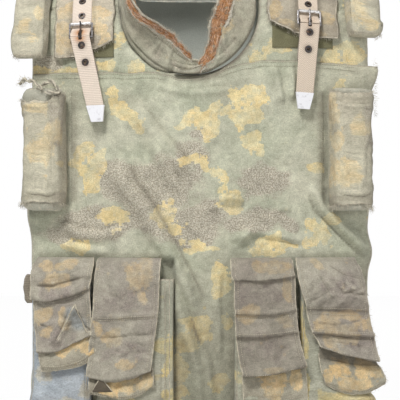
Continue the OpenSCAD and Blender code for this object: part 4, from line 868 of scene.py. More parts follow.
def chest_cloth():
    half = HALF_W - 0.003
    nu, nv = 165, 175
    xs = np.linspace(-half, half, nu)
    v = np.linspace(0, 1, nv)
    x = np.broadcast_to(xs, (nv, nu))
    top = yoke(xs)
    z = 0.003 + v[:, None] * (top - 0.003)
    free = np.ones_like(x)
    for cx, x_half, z0, z1 in ((-0.221, 0.03, 0.315, 0.485), (0.213, 0.03, 0.315, 0.485)):
        free *= (1 - smooth((x_half + 0.01 - np.abs(x - cx)) / 0.016) * smooth((z - z0) / 0.02)
                 * smooth((z1 - z) / 0.02))
    for px, wide in zip(POUCH_X, POUCH_WIDE):
        free *= (1 - smooth((wide / 2 + 0.004 - np.abs(x - px - wide / 2)) / 0.010)
                 * smooth((ROOT_H + 0.004 - z) / 0.012))
    seam = smooth((top - z) / 0.02) * smooth(z / 0.02) * smooth((half - np.abs(x)) / 0.012)
    soft = (1.6 + 2.0 * noise(x, z, 0.12, 3, 2)) / 1000
    folds = 1.7 * sum(crease(x, z, *f) for f in (
        ([(-92, 474), (-58, 428), (-32, 396), (-10, 372)], 5.5, 13),
        ([(-110, 392), (-96, 352), (-70, 318), (-40, 266), (-18, 224), (14, 160)], 8.5, 15),
        ([(-70, 262), (-34, 204), (-12, 146), (4, 80), (10, 20)], 7.5, 12),
        ([(-20, 150), (16, 90), (24, 30)], 5.0, 10),
        ([(-70, 420), (-40, 372), (-24, 340)], 3.5, 9),
        ([(34, 228), (30, 180), (33, 130), (32, 90)], 2.2, 6),
        ([(24, 330), (34, 333), (50, 333), (66, 328)], 6.0, 5),
        ([(10, 318), (18, 319), (26, 319)], 3.0, 4),
        ([(112, 317), (122, 318), (132, 317)], 3.0, 4),
        ([(232, 242), (212, 268), (188, 292), (168, 312), (156, 346)], 7.5, 9),
        ([(112, 524), (118, 500), (124, 466)], 4.0, 8),
        ([(134, 530), (140, 500), (138, 470)], 3.5, 7),
        ([(51, 262), (62, 280), (74, 292)], 4.0, 6),
        ([(-200, 300), (-176, 284), (-140, 282), (-110, 292)], 4.5, 9),
        ([(-204, 272), (-170, 262), (-130, 256)], 4.0, 8),
        ([(-60, 496), (-10, 486), (50, 492)], 3.0, 6),
        ([(150, 260), (120, 268), (80, 274), (42, 262)], 3.5, 7),
        ([(232, 110), (243, 140), (243, 200), (238, 242)], 2.5, 5)))
    fine = 0.85 * noise(x, z, 0.022, 9, 3) / 1000
    n = CHEST_N + seam * (0.25 + 0.75 * free) * np.maximum(free * (soft + folds) + fine, -0.0008)
    n = n - 0.0009 * bump(z, top, 0.0016) + 0.0009 * bump(z, top - 0.005, 0.003)
    pull = np.where(x > 0, 0.014 * smooth((z - 0.458) / 0.055) * smooth((x - 0.195) / 0.05), 0)
    out = 0.007 * bump(z, 0.516, 0.020) * smooth((x - 0.215) / 0.03)
    p = skin(x + edge_wave(x, z, False) + pull, z, n + out)
    d = np.minimum(half - np.abs(x), np.minimum(top - z, z))
    # Wear at the edges, and lighter on raised crests: painted highlight
    wear_and_highlight = by_edge(np.abs(d), 0.0045) * 0.8 + 0.25 * smooth((n - 0.006) / 0.004)
    off, turned = np.hypot(x - NECK_X, z - NECK_H) - NECK_R, np.arctan2(x - NECK_X, NECK_H - z)
    # Painted shadow under the collar's right half, just below the neck edge
    collar_shadow = 0.9 * bump(off, 0.004, 0.007) * bump(turned, 0.25, 0.4)
    # Painted shade in narrow strips beside the side rolls and beside the pouches
    beside = sum(k * bump(x, cx, w) * smooth((z - z0) / 0.01) * smooth((z1 - z) / 0.01)
                 for k, cx, w, z0, z1 in ((0.38, -0.183, 0.006, 0.318, 0.49),
                                          (0.38, 0.176, 0.006, 0.318, 0.49), (0.14, -0.033, 0.003, 0.0, 0.21),
                                          (0.10, 0.045, 0.003, 0.0, 0.24)))
    # Painted shadow under the side rolls and along the roots of the pouch flaps
    under = sum(0.24 * bump(z, h0, 0.004) * smooth((x - x0) / 0.008) * smooth((x1 - x) / 0.008)
                for h0, x0, x1 in ((0.309, -0.255, -0.187), (0.309, 0.18, 0.247), (0.247, -0.24, -0.055),
                                   (0.247, 0.048, 0.23)))
    # Painted shade along the yoke seam and in fold valleys; darker towards the bottom and at the lower right
    # edge; and blotchy soiling
    dirt_and_shade = (collar_shadow + beside + under + 0.6 * bump(z, top + 0.0005, 0.0016) + 0.55 * smooth(-folds / 0.0040)
            + 0.45 * smooth((0.27 - z) / 0.17) + 0.5 * smooth((x - 0.218) / 0.012) * bump(z, 0.19, 0.06)
            + 0.12 * smooth(noise(x, z, 0.05, 12, 3) - 0.2))
    obj = surface("chest_cloth", p, stack(x, z), "front", COVER,
                  attrs={"tan": blobs(x, z, CHEST_TAN, 9.0), "brown": blobs(x, z, CHEST_BROWN), "wear_and_highlight": wear_and_highlight,
                         "dirt_and_shade": np.clip(dirt_and_shade, 0, 0.85)}, thick=0.0011)
    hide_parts("chest_pocket_cloth")

    def row(offset, x0, x1, lift=0.0):
        q = np.linspace(x0, x1, 160)
        h = yoke(q) - offset
        k = np.interp(q, xs, np.arange(nu))
        col = np.clip(k.astype(int), 0, nu - 1)
        depth_n = np.array([np.interp(hh, z[:, c], n[:, c]) for hh, c in zip(h, col)])
        return skin(q, h, depth_n + 0.0007 + lift)

    lines = stitches(row(0.003, -half + 0.004, half - 0.004))
    lines += stitches(row(0.0085, 0.03, half - 0.004)) + stitches(row(0.0085, -half + 0.004, -0.05))
    tubes("yoke_stitches", lines, 0.00038, "front", SEAM)
    edge = np.concatenate([np.linspace(-0.19, -0.04, 60), np.linspace(0.03, half, 60)])
    side = skin(np.full(50, half), np.linspace(0.45, 0.53, 50), 0.004)
    frays("yoke_frays", skin(edge, yoke(edge) + 0.0003, 0.001), [0, -0.6, 0.6], "front", THREAD,
          length=0.005, radius=THIN_R, count=2, seed=5)
    frays("corner_frays", side + [0.010, 0, 0], [1, -0.3, 0.2], "front", THREAD,
          length=0.007, radius=LOOSE_R, count=2, seed=6)


chest_cloth()

# --- Padded rolls ---
def across(x, s, n, l):
    y = bow_y(x) + s * np.sin(tilt(x)) - n * np.cos(tilt(x))
    a = np.maximum(0, l - ROLL_H) / DEPTH
    return stack(x + s * np.cos(tilt(x)) + n * np.sin(tilt(x)), y * np.cos(a),
                     np.minimum(l, ROLL_H) - y * np.sin(a) - REST_H)


def roll_form(x, half_w, half_t, lift, l0, l1, low, e, m, n, seed):
    """Closed form of a roll from l0 to l1: rows along it, columns round it. Column 0 is its +X side, and a
    quarter further on is its front. low is its thickness at the ends and e the squareness of its section."""
    t = np.linspace(0, 1, m)
    t = (1 - np.cos(t * math.pi)) / 2 * 0.5 + t * 0.5
    c = np.arange(n) / n * 2 * math.pi
    k = low + (1 - low) * np.sqrt(np.clip(1 - np.abs(2 * t - 1) ** 7, 0, 1))
    t2, c2 = np.meshgrid(t, c, indexing="ij")
    l = l0 + t2 * (l1 - l0)
    wob = 1 + 0.03 * noise(np.cos(c2) * 0.03 + l, np.sin(c2) * 0.03, 0.05, seed, 2)
    s = half_w * k[:, None] * spow(np.cos(c2), e) * wob
    up = half_t * k[:, None] * spow(np.sin(c2), e) * wob
    p = across(x, s, lift + up, l)
    u = np.arange(n + 1) / n * 4 * (half_w + half_t) * 0.85
    uv = stack(u[None, :], (l0 + t * (l1 - l0))[:, None])
    return p, uv, t, c


def puff(obj, cap, soft, shrink=-0.06, pressure=4.0, frames=20):
    """Cloth simulation under a little pressure: the form swells and wrinkles. No point moves past the cap
    times its own softness."""
    start = np.array([v.co for v in obj.data.vertices])
    cloth = obj.modifiers.new("puff", "CLOTH")
    c = cloth.settings
    c.quality, c.mass, c.use_pressure, c.uniform_pressure_force = 5, 0.3, True, pressure
    c.effector_weights.gravity = 0.0
    c.tension_stiffness = c.compression_stiffness = 15
    c.shear_stiffness, c.bending_stiffness, c.shrink_min = 5, 0.4, shrink
    cloth.point_cache.frame_start, cloth.point_cache.frame_end = 1, frames
    scene = bpy.context.scene
    for k in range(1, frames + 1):
        scene.frame_set(k)
    done = obj.evaluated_get(bpy.context.evaluated_depsgraph_get()).to_mesh()
    end = np.array([v.co for v in done.vertices])
    obj.modifiers.remove(cloth)
    scene.frame_set(1)
    move = end - start
    move *= np.minimum(1, cap * soft / np.maximum(np.linalg.norm(move, axis=1), 1e-9))[:, None]
    obj.data.vertices.foreach_set("co", (start + move).astype(np.float32).ravel())
    obj.data.update()


def normals(p, wrap):
    d1 = np.gradient(p, axis=0)
    d2 = (np.roll(p, -1, 1) - np.roll(p, 1, 1)) if wrap else np.gradient(p, axis=1)
    return unit(np.cross(d2, d1), 1e-12)


def rows_at(p, t_of, t):
    """Points of a grid at other places along its rows; t_of are the rows' places, t is (rows, columns)."""
    k = np.interp(t, t_of, np.arange(len(t_of)))
    i = np.clip(k.astype(int), 0, len(t_of) - 2)
    f = (k - i)[..., None]
    j = np.broadcast_to(np.arange(p.shape[1]), t.shape)
    return p[i, j] * (1 - f) + p[i + 1, j] * f


PUFF_CAP = 0.0034
SIDE_X, SIDE_BASE, SIDE_L, SLEEVE, SLEEVE_L = (-0.221, 0.213), 0.310, 0.180, (0.0544, 0.8989), 0.152
SLEEVE_TAN = ([(-228, 397, 20, 17), (-240, 463, 15, 8), (-206, 425, 13, 17), (-200, 380, 8, 6)],
              [(188, 468, 11, 34), (212, 366, 24, 24), (232, 430, 14, 16), (196, 410, 8, 14)])
# Places across of a light stripe down each sleeve's front: painted highlight
SLEEVE_STRIPE = (-0.222, 0.187)
SLEEVE_FOLDS = (([(-32, 474), (-6, 466), (28, 468)], 2.4, 4), ([(30, 335), (8, 330), (-28, 336)], 2.6, 4),
                ([(26, 440), (12, 390), (14, 340)], 1.6, 5), ([(-26, 440), (-20, 400), (-24, 350)], 1.4, 5),
                ([(-30, 372), (-16, 366), (-4, 370)], 1.0, 4))
for i, side in enumerate(SIDES):
    x = SIDE_X[i]
    p, uv, t, c = roll_form(x, 0.0318, 0.0188, CHEST_N + 0.0005 + 0.021, SIDE_BASE, SIDE_BASE + SIDE_L, 0.66,
                            0.62, 60, 76, 50 + i)
    h = SIDE_BASE + np.broadcast_to(t[:, None], p.shape[:2]) * SIDE_L
    worn = by_edge(np.minimum(t, 1 - t), 0.06)[:, None] * 0.6
    core = surface("side_core_" + side, p, uv, "front", CORE, wrap=True, caps=True, attrs={"wear_and_highlight": worn})
    back_side = 0.25 + 0.75 * smooth(np.sin(c) * 1.2 + 0.6)
    puff(core, PUFF_CAP, np.concatenate([np.tile(back_side, len(t)), [0.3, 0.3]]))
    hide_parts("side_roll_core_" + side)
    p = np.array([v.co for v in core.data.vertices])[:p.shape[0] * p.shape[1]].reshape(p.shape)
    out = normals(p, True)
    out *= np.sign((out * (p - p.mean(1, keepdims=True))).sum(-1, keepdims=True).mean())
    v = np.linspace(0, 1, 90)[:, None]
    cc = np.broadcast_to(c, (len(v), len(c)))
    torn = 0.016 * noise(np.cos(c) * 0.05, np.sin(c) * 0.05, 0.018, 61 + i, 3) / 1.2
    if i == 0:
        low_t, high_t = SLEEVE[0] + 0.5 * torn, SLEEVE[1] + torn + 0.05 * smooth(np.cos(c) * 2 - 0.3)
    else:
        low_t, high_t = SLEEVE[0] - 0.02 + 0.7 * torn, SLEEVE[1] + 0.07 + 0.3 * torn
    tt = low_t + v * (high_t - low_t)
    q, o = rows_at(p, t, tt), unit(rows_at(out, t, tt))
    l = SIDE_BASE + tt * SIDE_L
    s = np.cos(cc) * 0.034
    front = np.clip(np.sin(cc), 0, 1)
    ridge = 1.5 * bump(s, 0.001, 0.005) * front * smooth(v * 6) * smooth((1 - v) * 6) if i == 0 else 0 * s
    rise = (0.9 + 0.8 * noise(cc * 0.03, l, 0.034, 70 + i, 3) + ridge
          + 1.6 * bump(v, 0.97, 0.03) + 1.2 * bump(v, 0.02, 0.03)) / 1000
    lines = sum(crease(s, l, *f) for f in SLEEVE_FOLDS) * front
    q = q + o * np.maximum(rise + lines, 0.0007)[..., None] * np.where(np.sin(cc) > -0.5, 1, 0.5)[..., None]
    uv2 = stack(uv[0, :, 0], np.concatenate([l, l[:, :1]], 1))
    # Wear at the torn ends. The lighter and tan stripes down the front are painted highlight
    wear_and_highlight = by_edge(np.minimum(v, 1 - v), 0.035) * 0.9 + 0.2 * bump(s, 0, 0.006) * front
    tan = blobs(q[..., 0], l, SLEEVE_TAN[i]) + 0.55 * bump(q[..., 0], SLEEVE_STRIPE[i], 0.004)
    brown = 0.55 * smooth((s - 0.006) / 0.006) * smooth((v - 0.45) / 0.1)
    # Painted shade: darker on the right part of the front, towards both sides of the round sleeve, in crease
    # valleys and near its lower end
    shade = (0.16 * smooth((s - 0.004) / 0.006) + 0.30 * smooth((np.abs(s) - 0.022) / 0.012)
             + 0.55 * smooth(-lines / 0.0009) + 0.3 * bump(v, 0.05, 0.04))
    sleeve = surface("side_sleeve_" + side, q, uv2, "front", ROLL, wrap=True, flip=True, thick=0.001,
                     attrs={"wear_and_highlight": wear_and_highlight, "dirt_and_shade": np.clip(shade, 0, 0.6), "tan": tan * (front > 0),
                            "brown": brown * (front > 0)})
    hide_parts("side_roll_sleeve_" + side)
    pick = np.flatnonzero(np.sin(c) > -0.35)
    for row, tag, long, count in ((0, "low", 0.011, 4), (-1, "high", 0.007, 3)):
        way = np.array([0, 0, -1 if row == 0 else 0.6])
        frays(f"side_frays_{tag}_{side}", q[row][pick] + o[row][pick] * 0.0006, o[row][pick] * 0.5 + way,
              "front", THREAD, length=long, radius=0.00024, count=count, seed=80 + i, droop=0.6)
    seam = [skin(x + sg * 0.0345, np.linspace(0.318, 0.486, 60), 0.004) for sg in (-1, 1)]
    tubes("side_seam_" + side, [line for e in seam for line in stitches(e)], 0.0004, "front", SEAM)

# Torn, twisted rim of the left sleeve
RIM = ([(-261, 496, 12), (-251, 501, 26), (-238, 500, 36), (-225, 495, 41), (-215, 485, 43)],
       [(-217, 492, 40), (-208, 497, 38), (-199, 492, 40), (-195, 483, 40), (-203, 480, 43), (-214, 482, 43)])
for k, points in enumerate(RIM):
    s = np.linspace(0, 1, 110)
    path = spline(np.array(points) / 1000, s)
    centre = skin(path[:, 0], path[:, 1], path[:, 2])
    centre = centre + 0.0011 * stack(*(noise(s, k, 0.10, 83 + j, 3) for j in range(3)))
    d = unit(np.gradient(centre, axis=0))
    side_way = unit(np.cross(d, [0, -1.0, 0]))
    up_way = np.cross(side_way, d)
    ang = np.arange(14) / 14 * 2 * math.pi
    twist = ang[None, :] + 11 * s[:, None]
    r = (0.0027 * (0.7 + 0.45 * np.cos(2 * twist)
                   + 0.4 * noise(s[:, None] * 0.1, np.cos(ang)[None, :] * 0.01, 0.01, 85 + k, 2)))
    r = np.maximum(r, 0.0007) * np.sqrt(np.clip(np.minimum(s, 1 - s) * 14, 0.02, 1))[:, None]
    p = centre[:, None] + (side_way[:, None] * np.cos(ang)[None, :, None]
                           + up_way[:, None] * np.sin(ang)[None, :, None]) * r[..., None]
    uv = stack(np.arange(15)[None, :] * 0.0015, s[:, None] * 0.1)
    # Lighter on the twist's crests and darker in its grooves: painted highlight and shade
    rim = surface(f"side_torn_rim_{k}", p, uv, "front", LIP, wrap=True, caps=True, flip=True,
                  attrs={"wear_and_highlight": 0.5 + 0.4 * np.cos(2 * twist), "dirt_and_shade": 0.65 * smooth(-np.cos(2 * twist))})
    pick = tuple(np.random.default_rng(seed + k).integers(0, most, 80) for seed, most in ((86, 110), (88, 14)))
    frays(f"side_rim_frays_{k}", p[pick], (p - centre[:, None])[pick] * 300, "front", THREAD, length=0.008,
          radius=THICK_R, count=2, seed=90 + k, droop=0.5)

SHOULDER_X, SHOULDER_H = (-0.244, 0.236), (ROLL_H - 0.022, ROLL_H + 0.008)
SHOULDER_TAN = ([(-262, 584, 13, 14), (-236, 604, 12, 12), (-246, 560, 9, 8)],
                [(222, 606, 20, 20), (246, 588, 12, 14), (236, 640, 14, 14)])
for i, side in enumerate(SIDES):
    x = SHOULDER_X[i]
    l0 = float(length_at(x, SHOULDER_H[i]))
    p, uv, t, c = roll_form(x, 0.0275, 0.0138, 0.0009 + 0.0148, l0, ROLL_H + ROLL_L * 0.955, 0.74, 0.55, 56,
                            68, 90 + i)
    worn = by_edge(t, 0.05)[:, None] * 0.9
    # Darker at the pad's two sides: painted shade on its rounded form
    roll = surface("shoulder_pad_" + side, p, uv, "front", ROLL, wrap=True, caps=True, flip=False,
                   attrs={"wear_and_highlight": worn, "dirt_and_shade": 0.28 * smooth((np.abs(np.cos(c)) - 0.75) / 0.25),
                          "tan": 0.85 * blobs(p[..., 0], uv[:, :-1, 1], SHOULDER_TAN[i])})
    back_side = 0.2 + 0.8 * smooth(np.sin(c) * 1.2 + 0.6)
    puff(roll, PUFF_CAP, np.concatenate([np.tile(back_side, len(t)), [0.4, 0.2]]))
    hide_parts("shoulder_roll_" + side)
    q = np.array([v.co for v in roll.data.vertices])[:len(t) * len(c)].reshape(len(t), len(c), 3)
    pick = np.flatnonzero(np.sin(c) > -0.6)
    frays("shoulder_frays_" + side, q[1][pick], [0, -0.5, -1.0], "front", THREAD,
          length=0.006, radius=THICK_R, count=3, seed=95 + i, droop=0.6)
    tubes("shoulder_seam_" + side, stitches(q[6:50, 4 if i == 0 else 30], out=(0, -1, 0.2)), 0.00036, "front",
          SEAM)

# --- Shoulder flaps and the patches under them ---
FLAP_OUT, FLAP_IN, FLAP_LOW = (-0.212, 0.201), (-0.125, 0.098), (ROLL_H - 0.022, ROLL_H + 0.006)
SHOULDER_FLAP_TAN = ([(-200, 566, 16, 30), (-150, 604, 18, 16), (-134, 560, 12, 12), (-196, 618, 14, 20),
                      (-144, 580, 10, 10)],
                     [(130, 580, 16, 10), (108, 604, 10, 16), (180, 600, 18, 12), (176, 570, 10, 8)])
SHOULDER_FLAP_DARK = (0.0, 0.36)
for i, side in enumerate(SIDES):
    m, n = 84, 44
    u = np.linspace(0, 1, n)
    us = u if i == 0 else 1 - u
    x = FLAP_OUT[i] + (FLAP_IN[i] - FLAP_OUT[i]) * us
    low_h = (FLAP_LOW[i] + np.interp(us, [0, 0.45, 1], [0, 0.0024, 0.024])
             + 0.0012 * noise(x, 0, 0.014, 101 + i))
    l0 = length_at(x, low_h)
    v = np.linspace(0, 1, m)[:, None] ** 1.25
    l = l0 + v * (ROLL_H + ROLL_L * 0.99 - l0)
    xx = (np.broadcast_to(x, l.shape) + 0.0016 * noise(0.1, l, 0.03, 103 + i)
          * smooth((np.abs(us - 0.5) - 0.3) * 5))
    free = smooth((np.abs(xx - STRAP_X[i]) - 0.017) / 0.012)
    lift = 0.0032 + free * (0.0016 + 0.0013 * noise(xx, l, 0.03, 105 + i)) + 0.002 * free * bump(l, l0, 0.012)
    lift = (lift + free * crease(xx, l, [(x[0] * 1000 + 10, 600), (x[n // 4] * 1000, 585),
                                         (x[n // 2] * 1000, 590)], 2.0, 5))
    mid = skin(xx, l, lift)
    half = 0.0019 * edge_round(m, n, 3, 3)
    d = np.minimum(np.minimum(us, 1 - us)[None, :] * 0.08, v * 0.15)
    wear_and_highlight = by_edge(d, 0.006)
    # Right flap darker overall; painted shade along the lower edge and beside the strap's edges
    dirt_and_shade = SHOULDER_FLAP_DARK[i] + 0.3 * bump(l, l0, 0.004) + 0.3 * bump(np.abs(xx - STRAP_X[i]), 0.017, 0.003)
    flap = pad("shoulder_cover_" + side, mid, -normals(mid, False), half, stack(xx, l), "front", FLAP_CLOTH,
               attrs={"wear_and_highlight": wear_and_highlight, "tan": blobs(xx, l, SHOULDER_FLAP_TAN[i]),
                      "brown": 0.6 * blobs(xx, l, [(x.mean() * 1000, 560, 30, 16)]),
                      "dirt_and_shade": np.clip(dirt_and_shade, 0, 0.7)})
    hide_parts("shoulder_flap_" + side)
    foot = skin(x, l0, lift[0])
    frays("flap_frays_" + side, foot, [0, -0.4, -1.0], "front", THREAD, length=0.006,
          radius=LOOSE_R, count=4, seed=110 + i, droop=0.4)
    for k, (col, way) in enumerate(((0, -1), (n - 1, 1))):
        frays(f"flap_side_frays_{k}_{side}", mid[:50, col], [way, -0.4, -0.2], "front", THREAD,
              length=0.004, radius=THIN_R, count=2, seed=114 + 2 * i + k, droop=0.3)
    edges = [mid[1, 1:-1] + [0, -0.0012, 0], mid[1:60, 1] + [0, -0.001, 0], mid[1:60, -2] + [0, -0.001, 0]]
    cord("flap_cord_" + side, edges, "front", CORD, 0.0011, 0.0007, 118 + i, sides=5)
    line = skin(x[2:-2], l0[2:-2] + 0.006, lift[8][2:-2] + 0.0022)
    tubes("flap_stitches_" + side, stitches(line), 0.00035, "front", PALE_SEAM)

for i, (x0, x1, h0, h1) in enumerate(((-0.205, -0.1255, ROLL_H - 0.022, ROLL_H + 0.023),
                                      (0.105, 0.194, ROLL_H - 0.008, ROLL_H + 0.046))):
    x, h = np.meshgrid(np.linspace(x0, x1, 50), np.linspace(h0, h1, 34))
    p = skin(x, length_at(x, h), 0.0009 + 0.00012 * noise(x, h, 0.006, 120))
    patch = surface("loop_patch_" + SIDES[i], p, stack(x, h), "front", OLIVE, thick=0.0006)
    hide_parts("loop_patches")


# --- Webbing ---
def ribbon(name, centre, over, half, body, mat, thick, cut=(), box_cut=None, cols=21, attrs=None,
           replaces=()):
    """Webbing along centre points, with over the unit vectors across it, cut the middles of its round holes
    and box_cut a test for a slot."""
    u = np.linspace(-1, 1, cols)
    half = np.broadcast_to(half, len(centre))
    p = centre[:, None] + over[:, None] * (u[None, :, None] * half[:, None, None])
    s = run_of(centre)
    uv = stack(u[None, :] * half[:, None], np.broadcast_to(s[:, None], (len(s), cols)))
    mids = (p[1:, 1:] + p[1:, :-1] + p[:-1, 1:] + p[:-1, :-1]) / 4
    keep = np.ones(mids.shape[:2], bool)
    for q in cut:
        keep &= np.linalg.norm(mids - q, axis=-1) > 0.0034
    if box_cut is not None:
        keep &= ~box_cut(mids)
    extra = {k: f(p) for k, f in (attrs or {}).items()}
    obj = surface(name, p, uv, body, mat, keep=keep, thick=thick, attrs=extra)
    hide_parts(*replaces)
    return obj


def resample(points, pitch=0.0011):
    p = np.asarray(points, float)
    s = run_of(p)
    t = np.linspace(0, s[-1], max(3, int(s[-1] / pitch)))
    return stack(*(np.interp(t, s, p[:, k]) for k in range(p.shape[1])))


def local(m, p):
    return (np.asarray(p) - m[:3, 3]) @ m[:3, :3]


def near_bar(m, high, wide, tall, at=0.0):
    """Stain round the middle of a buckle's bar, for the webbing's points."""
    return lambda p: high * bump(local(m, p)[..., 2], at, tall) * bump(local(m, p)[..., 0], 0.0, wide)


# Slot in a strap's loose end, below the bar, that the prong turns in
PRONG_SLOT = 0.0042
for i, side in enumerate(SIDES):
    x = STRAP_X[i]
    mid_n = STRAP_N0 + WEB_T / 2
    strap_r = DEPTH - 0.018 + STRAP_N0
    half_bar = BAR_SPACE / 2
    sag = half_bar ** 2 / (2 * strap_r)
    join = half_bar + 0.0048
    frame_m, a_low = on_face(x, BUCKLE_H[i]), roll_angle(x, BUCKLE_H[i])
    a0 = a_low + (join - 0.001) / strap_r
    angles = np.linspace(math.radians(89.8), a0, 60)
    top = np.array([place(on_roll(x, a), (0, -mid_n, 0)) for a in angles])
    bend = [(mid_n - sag, half_bar), (mid_n, half_bar - 0.0054),
            (BAR_N + OVER_N + WEB_T / 2, 0.004 - half_bar), (BAR_N + OVER_N + WEB_T / 2, -0.0003 - half_bar)]
    low = np.array([place(frame_m, (0, -n, z)) for n, z in bend])
    centre = resample(np.concatenate([top, low]))
    high_share = smooth((centre[:, 2] - low[0][2]) / 0.02)[:, None]
    over = unit(on_roll(x, 1.2)[:3, 0] * high_share + frame_m[:3, 0] * (1 - high_share))
    holes = [place(on_roll(x, a_low + (0.024 + k * 0.025) / strap_r), (0, -mid_n, 0)) for k in range(3)]

    def slot_cut(mids, m=frame_m):
        q = local(m, mids)
        return ((np.abs(q[..., 0]) < 0.0026) & (q[..., 2] > -half_bar - 0.001)
                & (q[..., 2] < -half_bar + 0.0104))

    strap = ribbon("shoulder_webbing_" + side, centre, over, WEB_W / 2, "front", WEB[i], WEB_T * 0.9, holes,
                   slot_cut, attrs={"rust": near_bar(frame_m, (0.9, 0.2)[i], 0.009, 0.006, -0.004)},
                   replaces=["shoulder_strap_" + side])

    m = lower_bar(i)
    z = np.linspace(0.0004, -TAIL_L, 97)
    t = np.maximum(0, -z / TAIL_L)
    centre = place(m, stack(t * LEAN[i], np.full_like(z, -OVER_N - WEB_T / 2), z))
    over = np.tile(m[:3, 0], (len(z), 1))
    holes = [place(m, (-e / TAIL_L * LEAN[i], -OVER_N - WEB_T / 2, e)) for e in TAIL_EYELETS]

    def tail_dirt(p, m=m):
        q = local(m, p)
        near = sum(bump(np.hypot(q[..., 2] - e, q[..., 0] + e / TAIL_L * LEAN[i]), 0.006, 0.003)
                   for e in TAIL_EYELETS)
        return 0.3 * near + 0.2 * bump(q[..., 2], -TAIL_L, 0.004)

    def prong_cut(mids, m=m):
        q = local(m, mids)
        return (np.abs(q[..., 0]) < 0.0028) & (q[..., 2] > -PRONG_SLOT)

    tail = ribbon("loose_webbing_" + side, centre, over, WEB_W / 2 - 0.0016 * t, "strap_end_" + side, WEB[i],
                  WEB_T * 0.9, holes, prong_cut,
                  attrs={"rust": near_bar(m, (0.9, 0.15)[i], 0.008, 0.007, -0.001), "dirt_and_shade": tail_dirt},
                  replaces=["strap_tail_" + side])

    bar = m[:3, 3]
    low_h = FLAP_LOW[i]
    yoke_h = (YOKE_LEFT, YOKE_RIGHT)[i]
    bar_h = bar[2] + REST_H

    def face(h, x=x, bar_y=bar[1]):
        return (bar_y + math.sqrt(float(bow_y(x)) ** 2 - max(0, h - ROLL_H) ** 2)) / math.cos(float(tilt(x)))

    route = [(yoke_h + 0.0015, face(yoke_h) + 0.0021), (low_h - 0.016, face(low_h - 0.016) + 0.0021),
             (low_h - 0.005, face(low_h - 0.005) + 0.0058), (low_h + 0.004, face(low_h + 0.004) + 0.0064),
             (bar_h - 0.005, 0.0009 - WRAP_R), (bar_h + 0.0003, 0.0009 - WRAP_R)]
    r = WRAP_R - STUB_T / 2
    pts = ([(h - bar_h, n) for h, n in route] + [(r * math.sin(a), -r * math.cos(a))
                                                 for a in np.linspace(0.2, 3.9, 14)])
    path2 = resample([(0, -n, z) for z, n in pts], 0.0009)
    path2[:, 0] = np.where(path2[:, 2] < -0.008, -0.2 * (path2[:, 2] + 0.008), 0) if i == 0 else 0

    def stub_cut(mids, m=m):
        q = local(m, mids)
        return (np.abs(q[..., 0]) < 0.0026) & (np.abs(q[..., 2]) < WRAP_R + 0.001)

    stub = ribbon("buckle_webbing_" + side, place(m, path2), np.tile(m[:3, 0], (len(path2), 1)),
                  WEB_W / 2 - 0.001, "front", STUB, STUB_T * 0.9, (), stub_cut,
                  replaces=["buckle_stub_" + side])
    cross = [place(m, (u * 0.011, 0.0006 - (face(yoke_h) + 0.0021) - STUB_T, yoke_h + dz - bar_h))
             for u, dz in ((-1, 0.004), (1, 0.004), (1, 0.016), (-1, 0.016), (-1, 0.004), (1, 0.016),
                           (1, 0.004), (-1, 0.016))]
    if i == 0:
        cross = [q + m[:3, 0] * 0.2 * (bar_h - yoke_h - 0.018) for q in cross]
    tubes("stub_stitches_" + side, stitches(cross, pitch=0.0026), 0.0003, "front", PALE_SEAM)

# Loop on the left edge
x0, y0 = -HALF_W - 0.0003, float(bow_y(-HALF_W)) + RIM_T / 2
ring = np.array([(-0.0081, -0.0036), (-0.0045, -0.0045), (-0.0009, -0.0036), (-0.0006, 0), (-0.0009, 0.0036),
                 (-0.0045, 0.0045), (-0.0081, 0.0036), (-0.0093, 0)])
ring = spline(np.concatenate([ring, ring[:1]]), np.linspace(0, 1, 40))[:-1]
z = np.linspace(0.174, 0.216, 40)
v = np.linspace(0, 1, 40)[:, None]
far = 1 + 0.30 * np.sin(math.pi * v) ** 0.8 - 0.30 * np.abs(np.linspace(-1, 1, 40)[:, None]) ** 6
p = stack(x0 + ring[:, 0] * far, y0 + ring[:, 1], z[:, None] - REST_H)
p[..., 0] += 0.001 * noise(p[..., 1] * 3, p[..., 2], 0.012, 131) * (ring[:, 0] < -0.004)
uv = stack(np.arange(40) * 0.0008, z[:, None])
loop = surface("edge_loop", p, uv, "front", LOOP, wrap=True, thick=0.0013)
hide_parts("side_loop")

# --- Magazine pouches ---
def arc_x(a):
    return BOW_R * np.sin(a / BOW_R)


def arc_at(x):
    return BOW_R * float(tilt(x))


def box_round(n, power=7):
    """Points round a square of half size 1 with rounded corners, from its lower left, front side first."""
    t = np.arange(n) / n * 4
    k, f = t.astype(int), (t % 1) * 2 - 1
    a = np.select([k == 0, k == 1, k == 2, k == 3], [f, np.ones(n), -f, -np.ones(n)])
    b = np.select([k == 0, k == 1, k == 2, k == 3], [np.ones(n), -f, -np.ones(n), f])
    r = (np.abs(a) ** power + np.abs(b) ** power) ** (1 / power)
    return a / r, b / r


